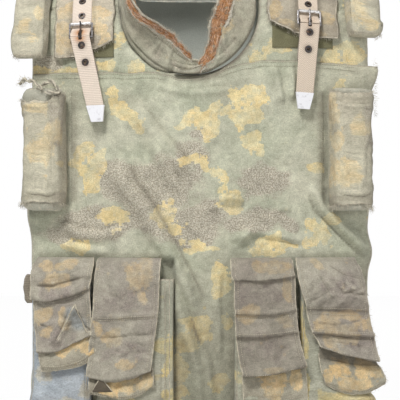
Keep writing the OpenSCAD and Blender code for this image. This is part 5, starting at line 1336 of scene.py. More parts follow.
POUCH_SPOTS = (
    [(-226, 66, 12, 14), (-186, 30, 22, 12), (-168, 52, 10, 12)],
    [(-52, 118, 16, 12), (-40, 104, 10, 26), (-100, 22, 20, 12), (-46, 44, 10, 14)],
    [(108, 40, 15, 26), (60, 70, 8, 14), (132, 130, 6, 30), (132, 66, 6, 26)],
    [(196, 36, 30, 14), (244, 46, 18, 14), (148, 130, 7, 40), (150, 60, 8, 30)])
BAG_FOLDS = (
    [([(-236, 50), (-200, 34), (-166, 18)], 3.5, 5), ([(-214, 70), (-190, 50), (-180, 16)], 3.0, 5),
     ([(-170, 66), (-160, 40), (-158, 12)], 2.5, 4)],
    [([(-142, 40), (-110, 24), (-70, 30)], 3.0, 5), ([(-54, 190), (-52, 120), (-56, 30)], 1.8, 4),
     ([(-124, 20), (-90, 14), (-60, 12)], 2.0, 4)],
    [([(52, 44), (84, 46), (110, 24)], 3.5, 5), ([(70, 20), (96, 40), (130, 34)], 3.0, 5),
     ([(56, 190), (58, 120), (56, 60)], 1.8, 4)],
    [([(146, 200), (150, 130), (152, 60)], 2.5, 4), ([(160, 44), (190, 26), (226, 34)], 3.5, 5),
     ([(176, 60), (200, 40), (240, 44)], 3.0, 5)])
BAG_MATS = (POUCH_BLUE, POUCH_BODY, POUCH_BODY, POUCH_BODY)
for i, key in enumerate(POUCHES):
    wide, a0 = POUCH_WIDE[i], arc_at(POUCH_X[i])
    n, m = 132, 84
    ca, cb = box_round(n)
    v = np.linspace(0, 1, m)[:, None]
    z = POUCH_BASE + v * (POUCH_TOP - POUCH_BASE)
    k = 1 - 0.10 * by_edge(v, 0.06) ** 2
    deep = (POUCH_N1 - POUCH_N0) / 2
    arc = a0 + wide / 2 + ca * (wide / 2 - 0.0008) * (1 - 0.03 * bump(v, 0.5, 0.3) * (1 - np.abs(cb)))
    lift = POUCH_N0 + deep + cb * deep * k
    front = smooth(cb * 3)
    xx = arc_x(arc)
    low = smooth((0.085 - z) / 0.05)
    folds = sum(crease(xx, z, *f) for f in BAG_FOLDS[i])
    belly = (front * (0.0030 * low * (1 - np.abs(ca) ** 4) + 0.0004
                      + 0.0011 * noise(arc, z, 0.035, 140 + i, 3) * (0.3 + low)
                      + folds * (0.35 + 0.65 * low)))
    belly = np.minimum(belly, 0.0009 + 0.009 * low)
    if i == 3:
        arc = arc + 0.026 * smooth((ca - 0.2) / 0.8) * smooth((0.075 - z) / 0.05) * (0.35 + 0.65 * front)
        belly = belly + 0.004 * smooth((0.075 - z) / 0.04) * front
    if i == 0:
        arc = arc - 0.006 * smooth((-ca - 0.2) / 0.8) * smooth((0.06 - z) / 0.04)
    p = skin(arc_x(arc), np.broadcast_to(z, arc.shape), lift + np.maximum(belly, -0.0012))
    u = np.arange(n + 1) / n * (wide * 2 + deep * 4)
    uv = stack(u[None, :] + POUCH_X[i], z)
    edge = bump(np.abs(ca), 1.0, 0.04) * smooth(cb * 2)
    # Wear at the edges, rim and bottom, and lighter where the belly bulges: painted highlight
    wear_and_highlight = (0.5 * edge + 0.8 * bump(v, 1.0, 0.02) + 0.5 * bump(v, 0, 0.015)
            + 0.3 * smooth((belly - 0.0035) / 0.002))
    # Painted shade in fold valleys and on the bag's sides and back; darker towards the bottom
    dirt_and_shade = 0.35 * smooth(-folds / 0.0012) * front + 0.5 * (1 - front) + 0.12 * low
    bag = surface("pouch_bag_" + key, p, uv, "front", BAG_MATS[i], wrap=True, caps=(True, False),
                  thick=0.0011, attrs={"wear_and_highlight": wear_and_highlight, "dirt_and_shade": np.clip(dirt_and_shade, 0, 0.7),
                                       "tan": blobs(p[..., 0], z, POUCH_SPOTS[i]) * (cb > -0.2)})
    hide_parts("pouch_" + key)
    right, left = int(n * 0.255), int(n * 0.995)
    lines = stitches(p[-4, 2:int(n * 0.24)], rise=0.0010) + stitches(p[4:-4, int(n * 0.235)], rise=0.0009)
    cords = [p[:, right] + [0, -0.0006, 0], p[:, left - n] + [0, -0.0006, 0], p[-1, 0:int(n * 0.25)]]
    if i == 1:
        gusset = int(n * 0.25 * 0.93)
        cords.append(p[3:-2, gusset] + [0, -0.0010, 0])
        lines += stitches(p[3:-2, gusset - 2], rise=0.0008)
    tubes("pouch_stitches_" + key, lines, SEAM_R, "front", SEAM)
    cord("pouch_piping_" + key, cords, "front", CORD, 0.0006, seed=136 + i)
    frays("pouch_frays_" + key, p[-1, ::3], [0, -0.4, 0.8], "front", THREAD,
          length=0.004, radius=THIN_R, count=2, seed=147 + i)

# Flaps: nets of points (across from the flap's middle, down from its root, above the cloth), millimetres
NETS = (
    [[(-41, 0, 3.3), (-14, 0, 3.3), (15, 0, 3.3), (46, 0, 3.3)],
     [(-42, 7, 12), (-14, 2, 14), (16, 1, 14), (48, 4, 12)],
     [(-43, 16, 22), (-14, 12, 25), (16, 11, 25), (50, 12, 21)],
     [(-43, 28, 28.5), (-14, 27, 31), (16, 24, 31), (50, 22, 28)],
     [(-42, 42, 31), (-14, 42, 33.5), (16, 35, 33), (49, 31, 29)],
     [(-41, 55, 34.5), (-14, 56, 36.5), (17, 47, 36), (48, 38, 32)],
     [(-40, 60, 34), (-14, 62, 35.5), (17, 53, 35), (47, 43, 31.5)],
     [(-39, 58, 28.6), (-14, 59, 29), (18, 51, 28.6), (46, 41, 28.2)],
     [(-38, 68, 28.6), (-13, 69, 29), (20, 62, 29.5), (47, 54, 28.2)],
     [(-37, 82, 29.5), (-12, 82, 30), (25, 72, 35.5), (48, 70, 29)],
     [(-36, 98, 30.5), (-8, 98, 33), (20, 88, 33.5), (49, 84, 29)],
     [(-34, 114, 30.5), (-4, 116, 34), (20, 104, 31), (50, 97, 29.5)],
     [(-32, 128, 31), (-2, 129, 32.5), (22, 118, 31), (50, 106, 31)],
     [(-31, 135, 33), (-2, 134, 33), (23, 122, 32.5), (50, 110, 32.5)],
     [(-30, 133, 29.2), (-2, 131, 29.2), (23, 119, 29), (49, 107, 29)]],
    [[(-44, 0, 3.3), (-14, 0, 3.3), (17, 0, 3.3), (48, 0, 3.3)],
     [(-45, 4, 13), (-15, 3, 14), (17, 2, 14), (48, 3, 13)],
     [(-45, 14, 23), (-15, 12, 24.5), (17, 12, 24.5), (48, 14, 23)],
     [(-46, 29, 28), (-16, 28, 29), (16, 28, 29), (48, 29, 28)],
     [(-47, 52, 28.6), (-17, 52, 30), (15, 50, 29.5), (47, 50, 28.6)],
     [(-48, 76, 28.8), (-18, 76, 29.5), (14, 74, 29.5), (46, 74, 28.6)],
     [(-49, 84, 30), (-18, 84, 31.4), (13, 81, 31.2), (45, 80, 29.5)],
     [(-50, 92, 28.7), (-19, 91, 29.2), (13, 88, 29), (45, 87, 28.6)],
     [(-51, 108, 30), (-20, 107, 31.6), (12, 104, 31), (43, 102, 29.5)],
     [(-52, 116, 28.8), (-21, 114, 29.3), (11, 111, 29), (42, 109, 28.6)],
     [(-53, 122, 30), (-22, 121, 31), (10, 118, 31), (41, 116, 29.2)],
     [(-54, 140, 29.5), (-23, 140, 30), (9, 136, 30), (39, 134, 29)],
     [(-56, 158, 31.5), (-24, 160, 33), (8, 154, 33), (37, 150, 31)],
     [(-57, 169, 34), (-25, 173, 35.5), (6, 168, 36), (36, 160, 34)],
     [(-56, 166, 30), (-25, 170, 31), (6, 164, 31), (35, 157, 30)]],
    [[(-48, 0, 3.3), (-17, 0, 3.3), (11, 0, 3.3), (40, 0, 3.3)],
     [(-49, 4, 12), (-18, 3, 14), (11, 3, 14), (40, 3, 13)],
     [(-50, 13, 22), (-18, 12, 24.5), (11, 12, 24.5), (40, 12, 23)],
     [(-50, 24, 28), (-18, 24, 29.5), (11, 22, 29.5), (40, 18, 28)],
     [(-47, 30, 30), (-17, 30, 33), (12, 28, 33.4), (41, 24, 31)],
     [(-46, 33, 28.2), (-16, 33, 28.8), (12, 31, 28.8), (42, 28, 28.2)],
     [(-46, 50, 28.6), (-16, 50, 29), (13, 49, 29), (42, 47, 28.4)],
     [(-46, 70, 28.8), (-16, 71, 29.6), (13, 70, 29.6), (43, 66, 28.6)],
     [(-45, 77, 31), (-16, 78, 32.2), (14, 77, 32.4), (43, 72, 31)],
     [(-45, 82, 28.5), (-15, 82, 28.9), (14, 81, 28.9), (44, 77, 28.5)],
     [(-44, 98, 29), (-15, 98, 30), (15, 97, 30), (45, 93, 29)],
     [(-44, 109, 31.5), (-14, 110, 33), (16, 108, 32.6), (46, 104, 31.5)],
     [(-43, 114, 28.6), (-14, 115, 29), (16, 113, 29), (47, 109, 28.6)],
     [(-41, 132, 30), (-12, 134, 31), (19, 130, 31), (50, 126, 30)],
     [(-38, 152, 33), (-8, 154, 35), (23, 149, 35), (54, 143, 33)],
     [(-35, 166, 37), (-5, 166, 39), (27, 160, 39), (57, 153, 36)],
     [(-35, 162, 30.5), (-5, 161, 31), (27, 156, 31), (56, 149, 30.5)]],
    [[(-48, 0, 3.3), (-17, 0, 3.3), (12, 0, 3.3), (42, 0, 3.3)],
     [(-50, 3, 12), (-17, 2, 14), (13, 3, 14), (44, 9, 9)],
     [(-52, 12, 22), (-17, 10, 25), (14, 12, 25), (46, 18, 19)],
     [(-52, 26, 29), (-17, 25, 33), (15, 28, 32.5), (48, 32, 28)],
     [(-48, 42, 31), (-15, 42, 35), (18, 44, 34.5), (50, 47, 30.5)],
     [(-43, 58, 31.5), (-12, 58, 34.5), (21, 60, 34), (52, 62, 31)],
     [(-40, 68, 31), (-9, 68, 32), (23, 70, 32), (54, 72, 30)],
     [(-39, 74, 28.6), (-8, 75, 29), (24, 77, 29), (55, 79, 28.6)],
     [(-37, 86, 29), (-6, 87, 30), (26, 89, 30), (57, 91, 29)],
     [(-34, 100, 31), (-4, 101, 33), (28, 104, 33), (60, 106, 31)],
     [(-32, 105, 33.5), (-2, 107, 35.5), (30, 110, 35.5), (62, 112, 33)],
     [(-30, 108, 28.8), (-1, 111, 29.2), (31, 115, 29.2), (63, 117, 28.8)],
     [(-24, 118, 31), (3, 124, 33), (35, 130, 33), (66, 134, 31.5)],
     [(-19, 128, 36), (7, 136, 38.5), (39, 143, 38.5), (69, 149, 36)],
     [(-18, 125, 30), (8, 132, 31), (39, 139, 31), (68, 146, 30.5)]])
FLAP_SPOTS = (
    [(-20, 12, 16, 10), (12, 10, 14, 8), (2, 32, 20, 12), (-22, 82, 16, 9), (10, 80, 8, 9), (14, 96, 8, 12),
     (-16, 106, 12, 8)],
    [(20, 24, 18, 22), (26, 54, 8, 10), (-40, 98, 8, 8), (-20, 110, 16, 12), (-4, 150, 12, 10)],
    [(-6, 10, 12, 9), (18, 14, 16, 10), (34, 44, 8, 14), (-26, 78, 16, 10), (32, 92, 12, 12),
     (8, 158, 14, 6)],
    [(-22, 10, 12, 8), (-6, 92, 20, 12), (28, 84, 18, 8), (20, 112, 26, 12), (46, 100, 14, 10),
     (-6, 116, 12, 10)])
FLAP_BROWN = ([(0, 50, 30, 14), (0, 116, 30, 14)], [(-10, 60, 40, 20), (0, 134, 40, 16)],
              [(-6, 50, 40, 20), (0, 126, 40, 20)], [(10, 40, 34, 20), (40, 120, 30, 12)])
FLAP_FOLDS = (
    [([(-38, 40), (-6, 40), (40, 26)], 2.6, 5), ([(-20, 30), (10, 26), (34, 14)], 2.0, 5),
     ([(24, 66), (8, 100), (-4, 124)], 2.6, 4),
     ([(26, 66), (40, 96), (50, 104)], 2.2, 4), ([(-30, 96), (-14, 100), (0, 92)], 1.6, 4)],
    [([(-44, 42), (-10, 56), (36, 42)], 1.8, 6), ([(10, 44), (24, 60), (44, 64)], 1.6, 5),
     ([(-46, 70), (-30, 76), (-10, 74)], 1.6, 4),
     ([(-20, 128), (0, 140), (30, 132)], 1.8, 6), ([(10, 118), (26, 124), (40, 122)], 1.4, 4),
     ([(-40, 100), (-10, 96), (20, 100)], 1.2, 4)],
    [([(-40, 58), (-10, 68), (40, 60)], 1.6, 5), ([(-10, 116), (-24, 130), (-26, 148)], 2.2, 4),
     ([(6, 120), (18, 132), (40, 124)], 1.8, 5),
     ([(-34, 138), (0, 146), (30, 138)], 1.6, 4), ([(-36, 90), (0, 96), (40, 88)], 1.2, 4)],
    [([(-24, 18), (-6, 48), (-34, 64)], 2.4, 6), ([(-6, 8), (16, 22), (44, 30)], 2.8, 6),
     ([(-2, 30), (14, 50), (46, 44)], 2.4, 5),
     ([(12, 34), (30, 52), (50, 52)], 2.2, 5), ([(-30, 92), (0, 96), (50, 90)], 1.6, 4),
     ([(-10, 118), (14, 122), (50, 130)], 2.4, 5)])
# For each flap: its own darkness and the painted shade of its turned-under parts, and the height of its folds
FLAP_DARK, TURNED_DARK = (0.0, 0.04, 0.30, 0.04), (0.62, 0.3, 0.34, 0.5)
FOLD_HIGH = (1.0, 0.35, 0.4, 0.9)
# Bands of shade across a flap: place down it from 0 to 1, and darkness
FLAP_SHADE = (((0.50, 0.7), (0.25, 0.3)), (), ((0.3125, 0.35), (0.75, 0.3)), ((0.50, 0.55), (0.786, 0.6)))
# A flap's root lies on the cloth and its sheet turns fully from the pouch's front edge on; these points go
# into its bends tuple, which finish_piece does not use
ROOT_OUT, TURN_OUT, TURN_DROP = 0.0033, 0.028, 0.029
# Distance of a flap's front from the cloth, at least, and the middle of its hook strip
FLAP_N, STRIP_N, STRIP_H = 0.0264, 0.02405, 0.022
# For each flap: its rows of stitches, in millimetres below its root, and the width of its hook strip, the
# strip's shift to the right and its height above the flap's lower edge
STITCH_ROWS = ((61, 66), (84, 87), (84, 108), (72, 82, 106))
STRIP_W, STRIP_X = (0.074, 0.074, 0.074, 0.058), (0.004, -0.004, 0.002, 0.019)
STRIP_UP = (0.014, 0.005, 0.008, 0.012)


def sheet_net(rows, nu, nv):
    """A hanging sheet from its net: points, place down it, and the outward side of each point."""
    g = net(np.array(rows, float) / 1000, nu, nv)
    run = np.concatenate([np.zeros((1, nu)), np.cumsum(np.linalg.norm(np.diff(g, axis=0), axis=-1), axis=0)])
    out = normals(g, False)
    if out[nv // 3, nu // 2, 2] < 0:
        out = -out
    return g, run.mean(1, keepdims=True) * np.ones((1, nu)), out


def hang(m, g):
    return place(m, stack(g[..., 0], -g[..., 2], -g[..., 1]))


def rim_frays(name, p, start, body, count, seed, length=0.0045):
    """Loose threads on the two sides and the lower edge of a hanging sheet."""
    side = len(p) - start
    rim = np.concatenate([p[start:, 0], p[-3, :], p[start:, -1]])
    ways = np.concatenate([np.tile([-1, -0.3, -0.2], (side, 1)), np.tile([0, -0.3, -1], (p.shape[1], 1)),
                           np.tile([1, -0.3, -0.2], (side, 1))])
    pick = np.random.default_rng(seed).permutation(len(rim))[:count]
    frays(name, rim[pick], ways[pick], body, THREAD, length=length, radius=THIN_R, count=2, seed=seed + 5,
          droop=0.4)


BANDS = (
    [[(-31, 106, 22.9), (-2, 104, 22.9), (27, 98, 22.9), (49, 92, 22.9)],
     [(-31, 120, 24.5), (-1, 118, 24.5), (28, 110, 24.5), (53, 102, 24.5)],
     [(-30, 140, 28), (1, 138, 29.5), (30, 130, 29.5), (56, 116, 28)],
     [(-27, 156, 30.5), (3, 155, 32), (32, 147, 32), (57, 131, 30)],
     [(-24, 165, 29), (6, 161, 30), (38, 154, 30), (53, 139, 28)]],
    [[(-52, 158, 22.9), (-24, 158, 22.9), (8, 155, 22.9), (36, 151, 22.9)],
     [(-54, 168, 24.5), (-24, 170, 25), (8, 167, 25), (38, 160, 24.5)],
     [(-54, 182, 28.5), (-24, 186, 30), (8, 184, 30), (40, 174, 29)],
     [(-53, 191, 30), (-22, 196, 32), (10, 195, 32), (41, 180, 30.5)],
     [(-52, 194, 28.5), (-22, 200, 30), (10, 199, 30), (39, 184, 28.5)]],
    [[(-33, 150, 22.9), (-4, 150, 22.9), (26, 146, 22.9), (52, 140, 22.9)],
     [(-34, 168, 24.5), (-4, 167, 24.5), (28, 162, 24.5), (57, 156, 24.5)],
     [(-33, 190, 26), (-3, 190, 27.5), (29, 188, 27), (59, 180, 26)],
     [(-32, 212, 27), (-2, 214, 29), (30, 212, 28.5), (60, 206, 27)]],
    [[(-18, 128, 22.9), (6, 132, 22.9), (38, 138, 22.9), (62, 142, 22.9)],
     [(-19, 142, 25), (8, 146, 26), (40, 152, 26), (70, 155, 25)],
     [(-17, 160, 28), (12, 166, 31), (44, 172, 31), (77, 166, 29)],
     [(-12, 176, 29), (16, 186, 33), (46, 190, 33), (81, 178, 31)],
     [(-9, 183, 27.5), (20, 196, 30), (50, 197, 30), (80, 185, 28.5)]])
BAND_SPOTS = (
    [(28, 118, 22, 14), (2, 130, 18, 8), (44, 130, 10, 10)],
    [(6, 180, 28, 12), (30, 172, 12, 12), (-24, 190, 14, 7)],
    [(8, 172, 20, 10), (10, 184, 14, 14), (14, 198, 8, 12), (46, 170, 8, 24)],
    [(10, 160, 16, 16), (52, 158, 18, 14), (34, 184, 26, 10), (68, 168, 10, 14), (-8, 172, 8, 14)])
for i, key in enumerate(POUCHES):
    nu, nv = 72, 150
    g, run, out = sheet_net(NETS[i], nu, nv)
    a, d = g[..., 0], g[..., 1]
    u2 = np.broadcast_to(np.linspace(-1, 1, nu), a.shape)
    v2 = np.broadcast_to(np.linspace(0, 1, nv)[:, None], a.shape)
    free = smooth(v2 * 7) * (0.4 + 0.6 * smooth((g[..., 2] - 0.0285) / 0.004))
    folds = FOLD_HIGH[i] * sum(crease(a, d, *f) for f in FLAP_FOLDS[i]) * smooth(v2 * 8)
    crumple = (0.0021 * noise(a, run, 0.030, 150 + i, 3) + 0.0009 * noise(a, run, 0.009, 160 + i, 2)) * free
    g = g + out * (crumple + folds + 0.0009 * free)[..., None]
    g[..., 2] = np.where(v2 > 0.25, np.maximum(g[..., 2], FLAP_N), g[..., 2])
    mid_x = arc_x(arc_at(POUCH_X[i]) + POUCH_W / 2)
    m = on_face(mid_x, ROOT_H)
    p = hang(m, g)
    bends = ("front", "flap_" + key, tuple(place(m, (0, -ROOT_OUT, 0))),
             tuple(place(m, (0, -TURN_OUT, -TURN_DROP))))
    edge = np.minimum(1 - np.abs(u2), (1 - v2) * 1.6)
    # Wear at the edges, and lighter on the outermost parts and fold ridges: painted highlight
    wear_and_highlight = (by_edge(edge, 0.045) * 0.8 + 0.25 * smooth((g[..., 2] - 0.033) / 0.003)
            + 0.3 * smooth(folds / 0.003))
    low = -np.gradient(g[..., 2], axis=0)
    # Painted shade on turned-under parts and in fold valleys, the painted bands of shade, and each flap's own
    # darkness
    dirt_and_shade = TURNED_DARK[i] * smooth(low / 0.0010) + 0.6 * smooth(-folds / 0.0008) + FLAP_DARK[i]
    dirt_and_shade = dirt_and_shade + sum(k * bump(v2, at, 0.022) for at, k in FLAP_SHADE[i])
    cool = blobs(a, d, [(34, 94, 12, 12), (26, 84, 9, 10)]) * 0.8 if i == 0 else 0 * a
    obj = surface("pouch_cover_" + key, p, stack(a + POUCH_X[i] * 3, -run), bends, POUCH,
                  attrs={"wear_and_highlight": wear_and_highlight, "tan": blobs(a, d, FLAP_SPOTS[i]),
                         "brown": 0.5 * blobs(a, d, FLAP_BROWN[i]), "dirt_and_shade": np.clip(dirt_and_shade, 0, 0.75),
                         "cool": cool}, thick=0.0016)
    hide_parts("flap_" + key)
    lines = []
    for drop in STITCH_ROWS[i]:
        row = int(np.argmin(np.abs(d[:, nu // 2] * 1000 - drop)))
        lines += stitches(p[row, 2:-2], rise=0.0011)
    for col in (4, nu - 5):
        lines += stitches(p[6:-4, col], rise=0.0010)
    lines += stitches(p[-9, 2:-2], rise=0.0011)
    tubes("cover_stitches_" + key, lines, HEAVY_R, bends, PALE_SEAM)
    edges = [p[6:-3, 0], p[6:-3, -1], p[-3, :]]
    if i == 0:
        for line in ([(28, 67), (18, 84), (8, 104), (-1, 118)], [(28, 67), (36, 88), (43, 105), (53, 102)]):
            q = spline(np.array(line) / 1000, np.linspace(0, 1, 30))
            near = [np.unravel_index(np.argmin(np.hypot(a - x, d - y)), a.shape) for x, y in q]
            edges.append(np.array([p[k] for k in near]) + [0, -0.0012, 0])
    cord("cover_cord_" + key, edges, bends, PALE_CORD, 0.00095, seed=166 + i)
    rim_frays("cover_frays_" + key, p, 10, bends, 110, 170 + i)

    # Hook strip under the flap, loop strip on the pouch
    low_edge = FLAP_L[i] - STRIP_UP[i] - 0.004
    b, z = np.meshgrid(np.linspace(-STRIP_W[i] / 2, STRIP_W[i] / 2, 40) + STRIP_X[i],
                       np.linspace(-low_edge, -low_edge + STRIP_H, 16))
    q = place(m, stack(b, -STRIP_N + 0.0001 * noise(b, z, 0.005, 180), z))
    strip = surface("cover_strip_" + key, q, stack(b, z), "flap_" + key, OLIVE, thick=0.0010)
    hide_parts("flap_strip_" + key)

    nu, nv = 66, 70
    g, run, out = sheet_net(BANDS[i], nu, nv)
    a, d = g[..., 0], g[..., 1]
    v2 = np.broadcast_to(np.linspace(0, 1, nv)[:, None], a.shape)
    u2 = np.broadcast_to(np.linspace(-1, 1, nu), a.shape)
    crumple = ((0.0016 * noise(a, run, 0.022, 187 + i, 3) + 0.0007 * noise(a, run, 0.007, 191 + i, 2))
               * smooth((v2 - 0.2) * 4))
    g = g + out * crumple[..., None]
    g[..., 2] = np.where(v2 < 0.3, np.minimum(g[..., 2], 0.0232 + 0.004 * v2), g[..., 2])
    p = hang(m, g)
    edge = np.minimum(1 - np.abs(u2), (1 - v2) * 1.2)
    # Painted shadow of the flap over the strip's top, and a painted shade line near its rolled lower edge
    strip = surface("bag_strip_" + key, p, stack(a + 0.3 * i, -run), "front", BAND, thick=0.0010,
                    attrs={"tan": blobs(a, d, BAND_SPOTS[i]), "wear_and_highlight": by_edge(edge, 0.05) * 0.8,
                           "dirt_and_shade": 0.7 * smooth(1 - (v2 - 0.25) / 0.16) + 0.2 * bump(v2, 0.85, 0.05)})
    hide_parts("pouch_loop_strips")
    long = float(run[-1, 0])
    float(np.linalg.norm(np.diff(p[nv // 2], axis=0), axis=1).sum())
    curve = int(nv * 0.86)
    lines = stitches(p[curve, 3:-3], rise=0.0009) + stitches(p[curve - 7, 3:-3], rise=0.0009)
    tubes("strip_stitches_" + key, lines, HEAVY_R, "front", PALE_SEAM)
    cord("strip_cord_" + key, [p[12:-2, 0], p[12:-2, -1], p[-2, :]], "front", PALE_CORD, 0.0008, seed=194 + i)
    rim_frays("strip_frays_" + key, p, 14, "front", 70, 198 + i, 0.004)

# Folded corner on the left inner pouch; its dark inside is painted shade
m = on_face(float(arc_x(arc_at(POUCH_X[1]) + POUCH_W / 2)), ROOT_H)
f, r = np.meshgrid(np.linspace(-1, 1, 14), np.linspace(0, 1, 16))
g = stack(-0.036 + f * 0.0145 * (0.06 + r) + 0.002 * r, 0.1705 + 0.021 * r,
          0.0325 + 0.0025 * np.sin(math.pi * r) - 0.001 * f * f)
corner = surface("strip_corner", hang(m, g), stack(g[..., 0], g[..., 1]), "front", SHADED_FOLD_INSIDE, thick=0.0008,
                 attrs={"wear_and_highlight": 0.5 * bump(np.abs(f), 1, 0.1)})
cord("corner_cord", [hang(m, g)[:, k] + [0, -0.0005, 0] for k in (0, -1)], "front", PALE_CORD, 0.0007,
     seed=203)


# --- Collar ---
# For the left and the right half: where it begins, in degrees round the neck from its lowest point
START = (-20.0, -14.0)
# Share of the length that follows the round neck, gap at the tips, thickness, width and further measures
ROUND_PART, TIP_GAP, COLLAR_T, COLLAR_W, LIMP_W, STAND_OUT = 0.62, 0.0005, 0.011, 0.044, 0.009, 1.6
FILL_FROM = (0.10, 0.135)


def mixed(a, b, t):
    return a + (b - a) * t


def by_neck(side, t, inwards):
    """Place on the cloth beside the neck, at a distance inwards of its edge."""
    b = np.radians(mixed(START[side > 0], 90, np.minimum(1, t / ROUND_PART)))
    r = NECK_R - mixed(*inwards, smooth(np.abs(np.degrees(b)) / 60))
    x = NECK_X + side * r * np.sin(b)
    top = length_at(x, np.full(x.shape, NECK_H))
    return x, np.where(t < ROUND_PART, length_at(x, NECK_H - r * np.cos(b)),
                       mixed(top, ROLL_H + ROLL_L * 0.985, (t - ROUND_PART) / (1 - ROUND_PART)))


def foot(side, t):
    """Middle of the collar's foot, side -1 left and 1 right, t from 0 at the front."""
    x, l = by_neck(side, t, (TIP_GAP, COLLAR_T / 2))
    return skin(x, l, mixed(0.003 if side > 0 else -0.013, -0.006, smooth(t / 0.4)))


def lean_in(side, t):
    if side > 0:
        return np.radians(mixed(24, 64, smooth(t / 0.3)) * (1 - 0.9 * smooth((t - 0.66) / 0.3)))
    return np.radians(16 + 42 * bump(t, 0.36, 0.24) - 8 * t)


def band_w(side, t):
    free = (mixed(0.007, COLLAR_W + LIMP_W, smooth((t - 0.04) / 0.4)) if side > 0
            else mixed(0.020, COLLAR_W, smooth(t / 0.3)))
    room = FOLD_H - (foot(side, t)[..., 2] + REST_H) - 0.004
    return free * room / (free ** 6 + room ** 6) ** (1 / 6)


def collar_frame(side, t):
    p = foot(side, t)
    way = unit(foot(side, np.minimum(1, t + 0.01)) - foot(side, np.maximum(0, t - 0.01)))
    a = lean_in(side, t)
    to_front = STAND_OUT * bump(t, 0.58, 0.15) if side < 0 else 0.0
    up = stack(-side * np.sin(a), 0.12 * smooth(t) - to_front, np.cos(a))
    up = unit(up - (up * way).sum(-1, keepdims=True) * way)
    return p, up, unit(np.cross(way, up) * side)


def foot_outward(side, t):
    """Unit vector out of the cloth at the neck's edge, and that edge's places across and along the cloth."""
    x, l = by_neck(side, t, (0.0, 0.0))
    return (skin(x, l, 0.01) - skin(x, l, 0.0)) / 0.01, x, l


COLLAR_FOLDS = (
    (([(16, 2), (34, 22), (46, 38)], 2.8, 4), ([(64, 0), (72, 20), (70, 42)], 2.6, 4),
     ([(96, 4), (100, 24), (110, 42)], 2.6, 5),
     ([(20, 12), (60, 15), (110, 10)], 2.0, 4), ([(128, 4), (140, 26), (150, 44)], 2.4, 5)),
    (([(24, 8), (44, 26), (60, 46)], 3.0, 4), ([(60, 4), (80, 22), (110, 30)], 3.2, 5),
     ([(84, 0), (96, 26), (128, 46)], 3.2, 5),
     ([(110, 6), (124, 20), (150, 26)], 2.6, 4), ([(40, 14), (80, 12), (130, 14)], 2.2, 4)))
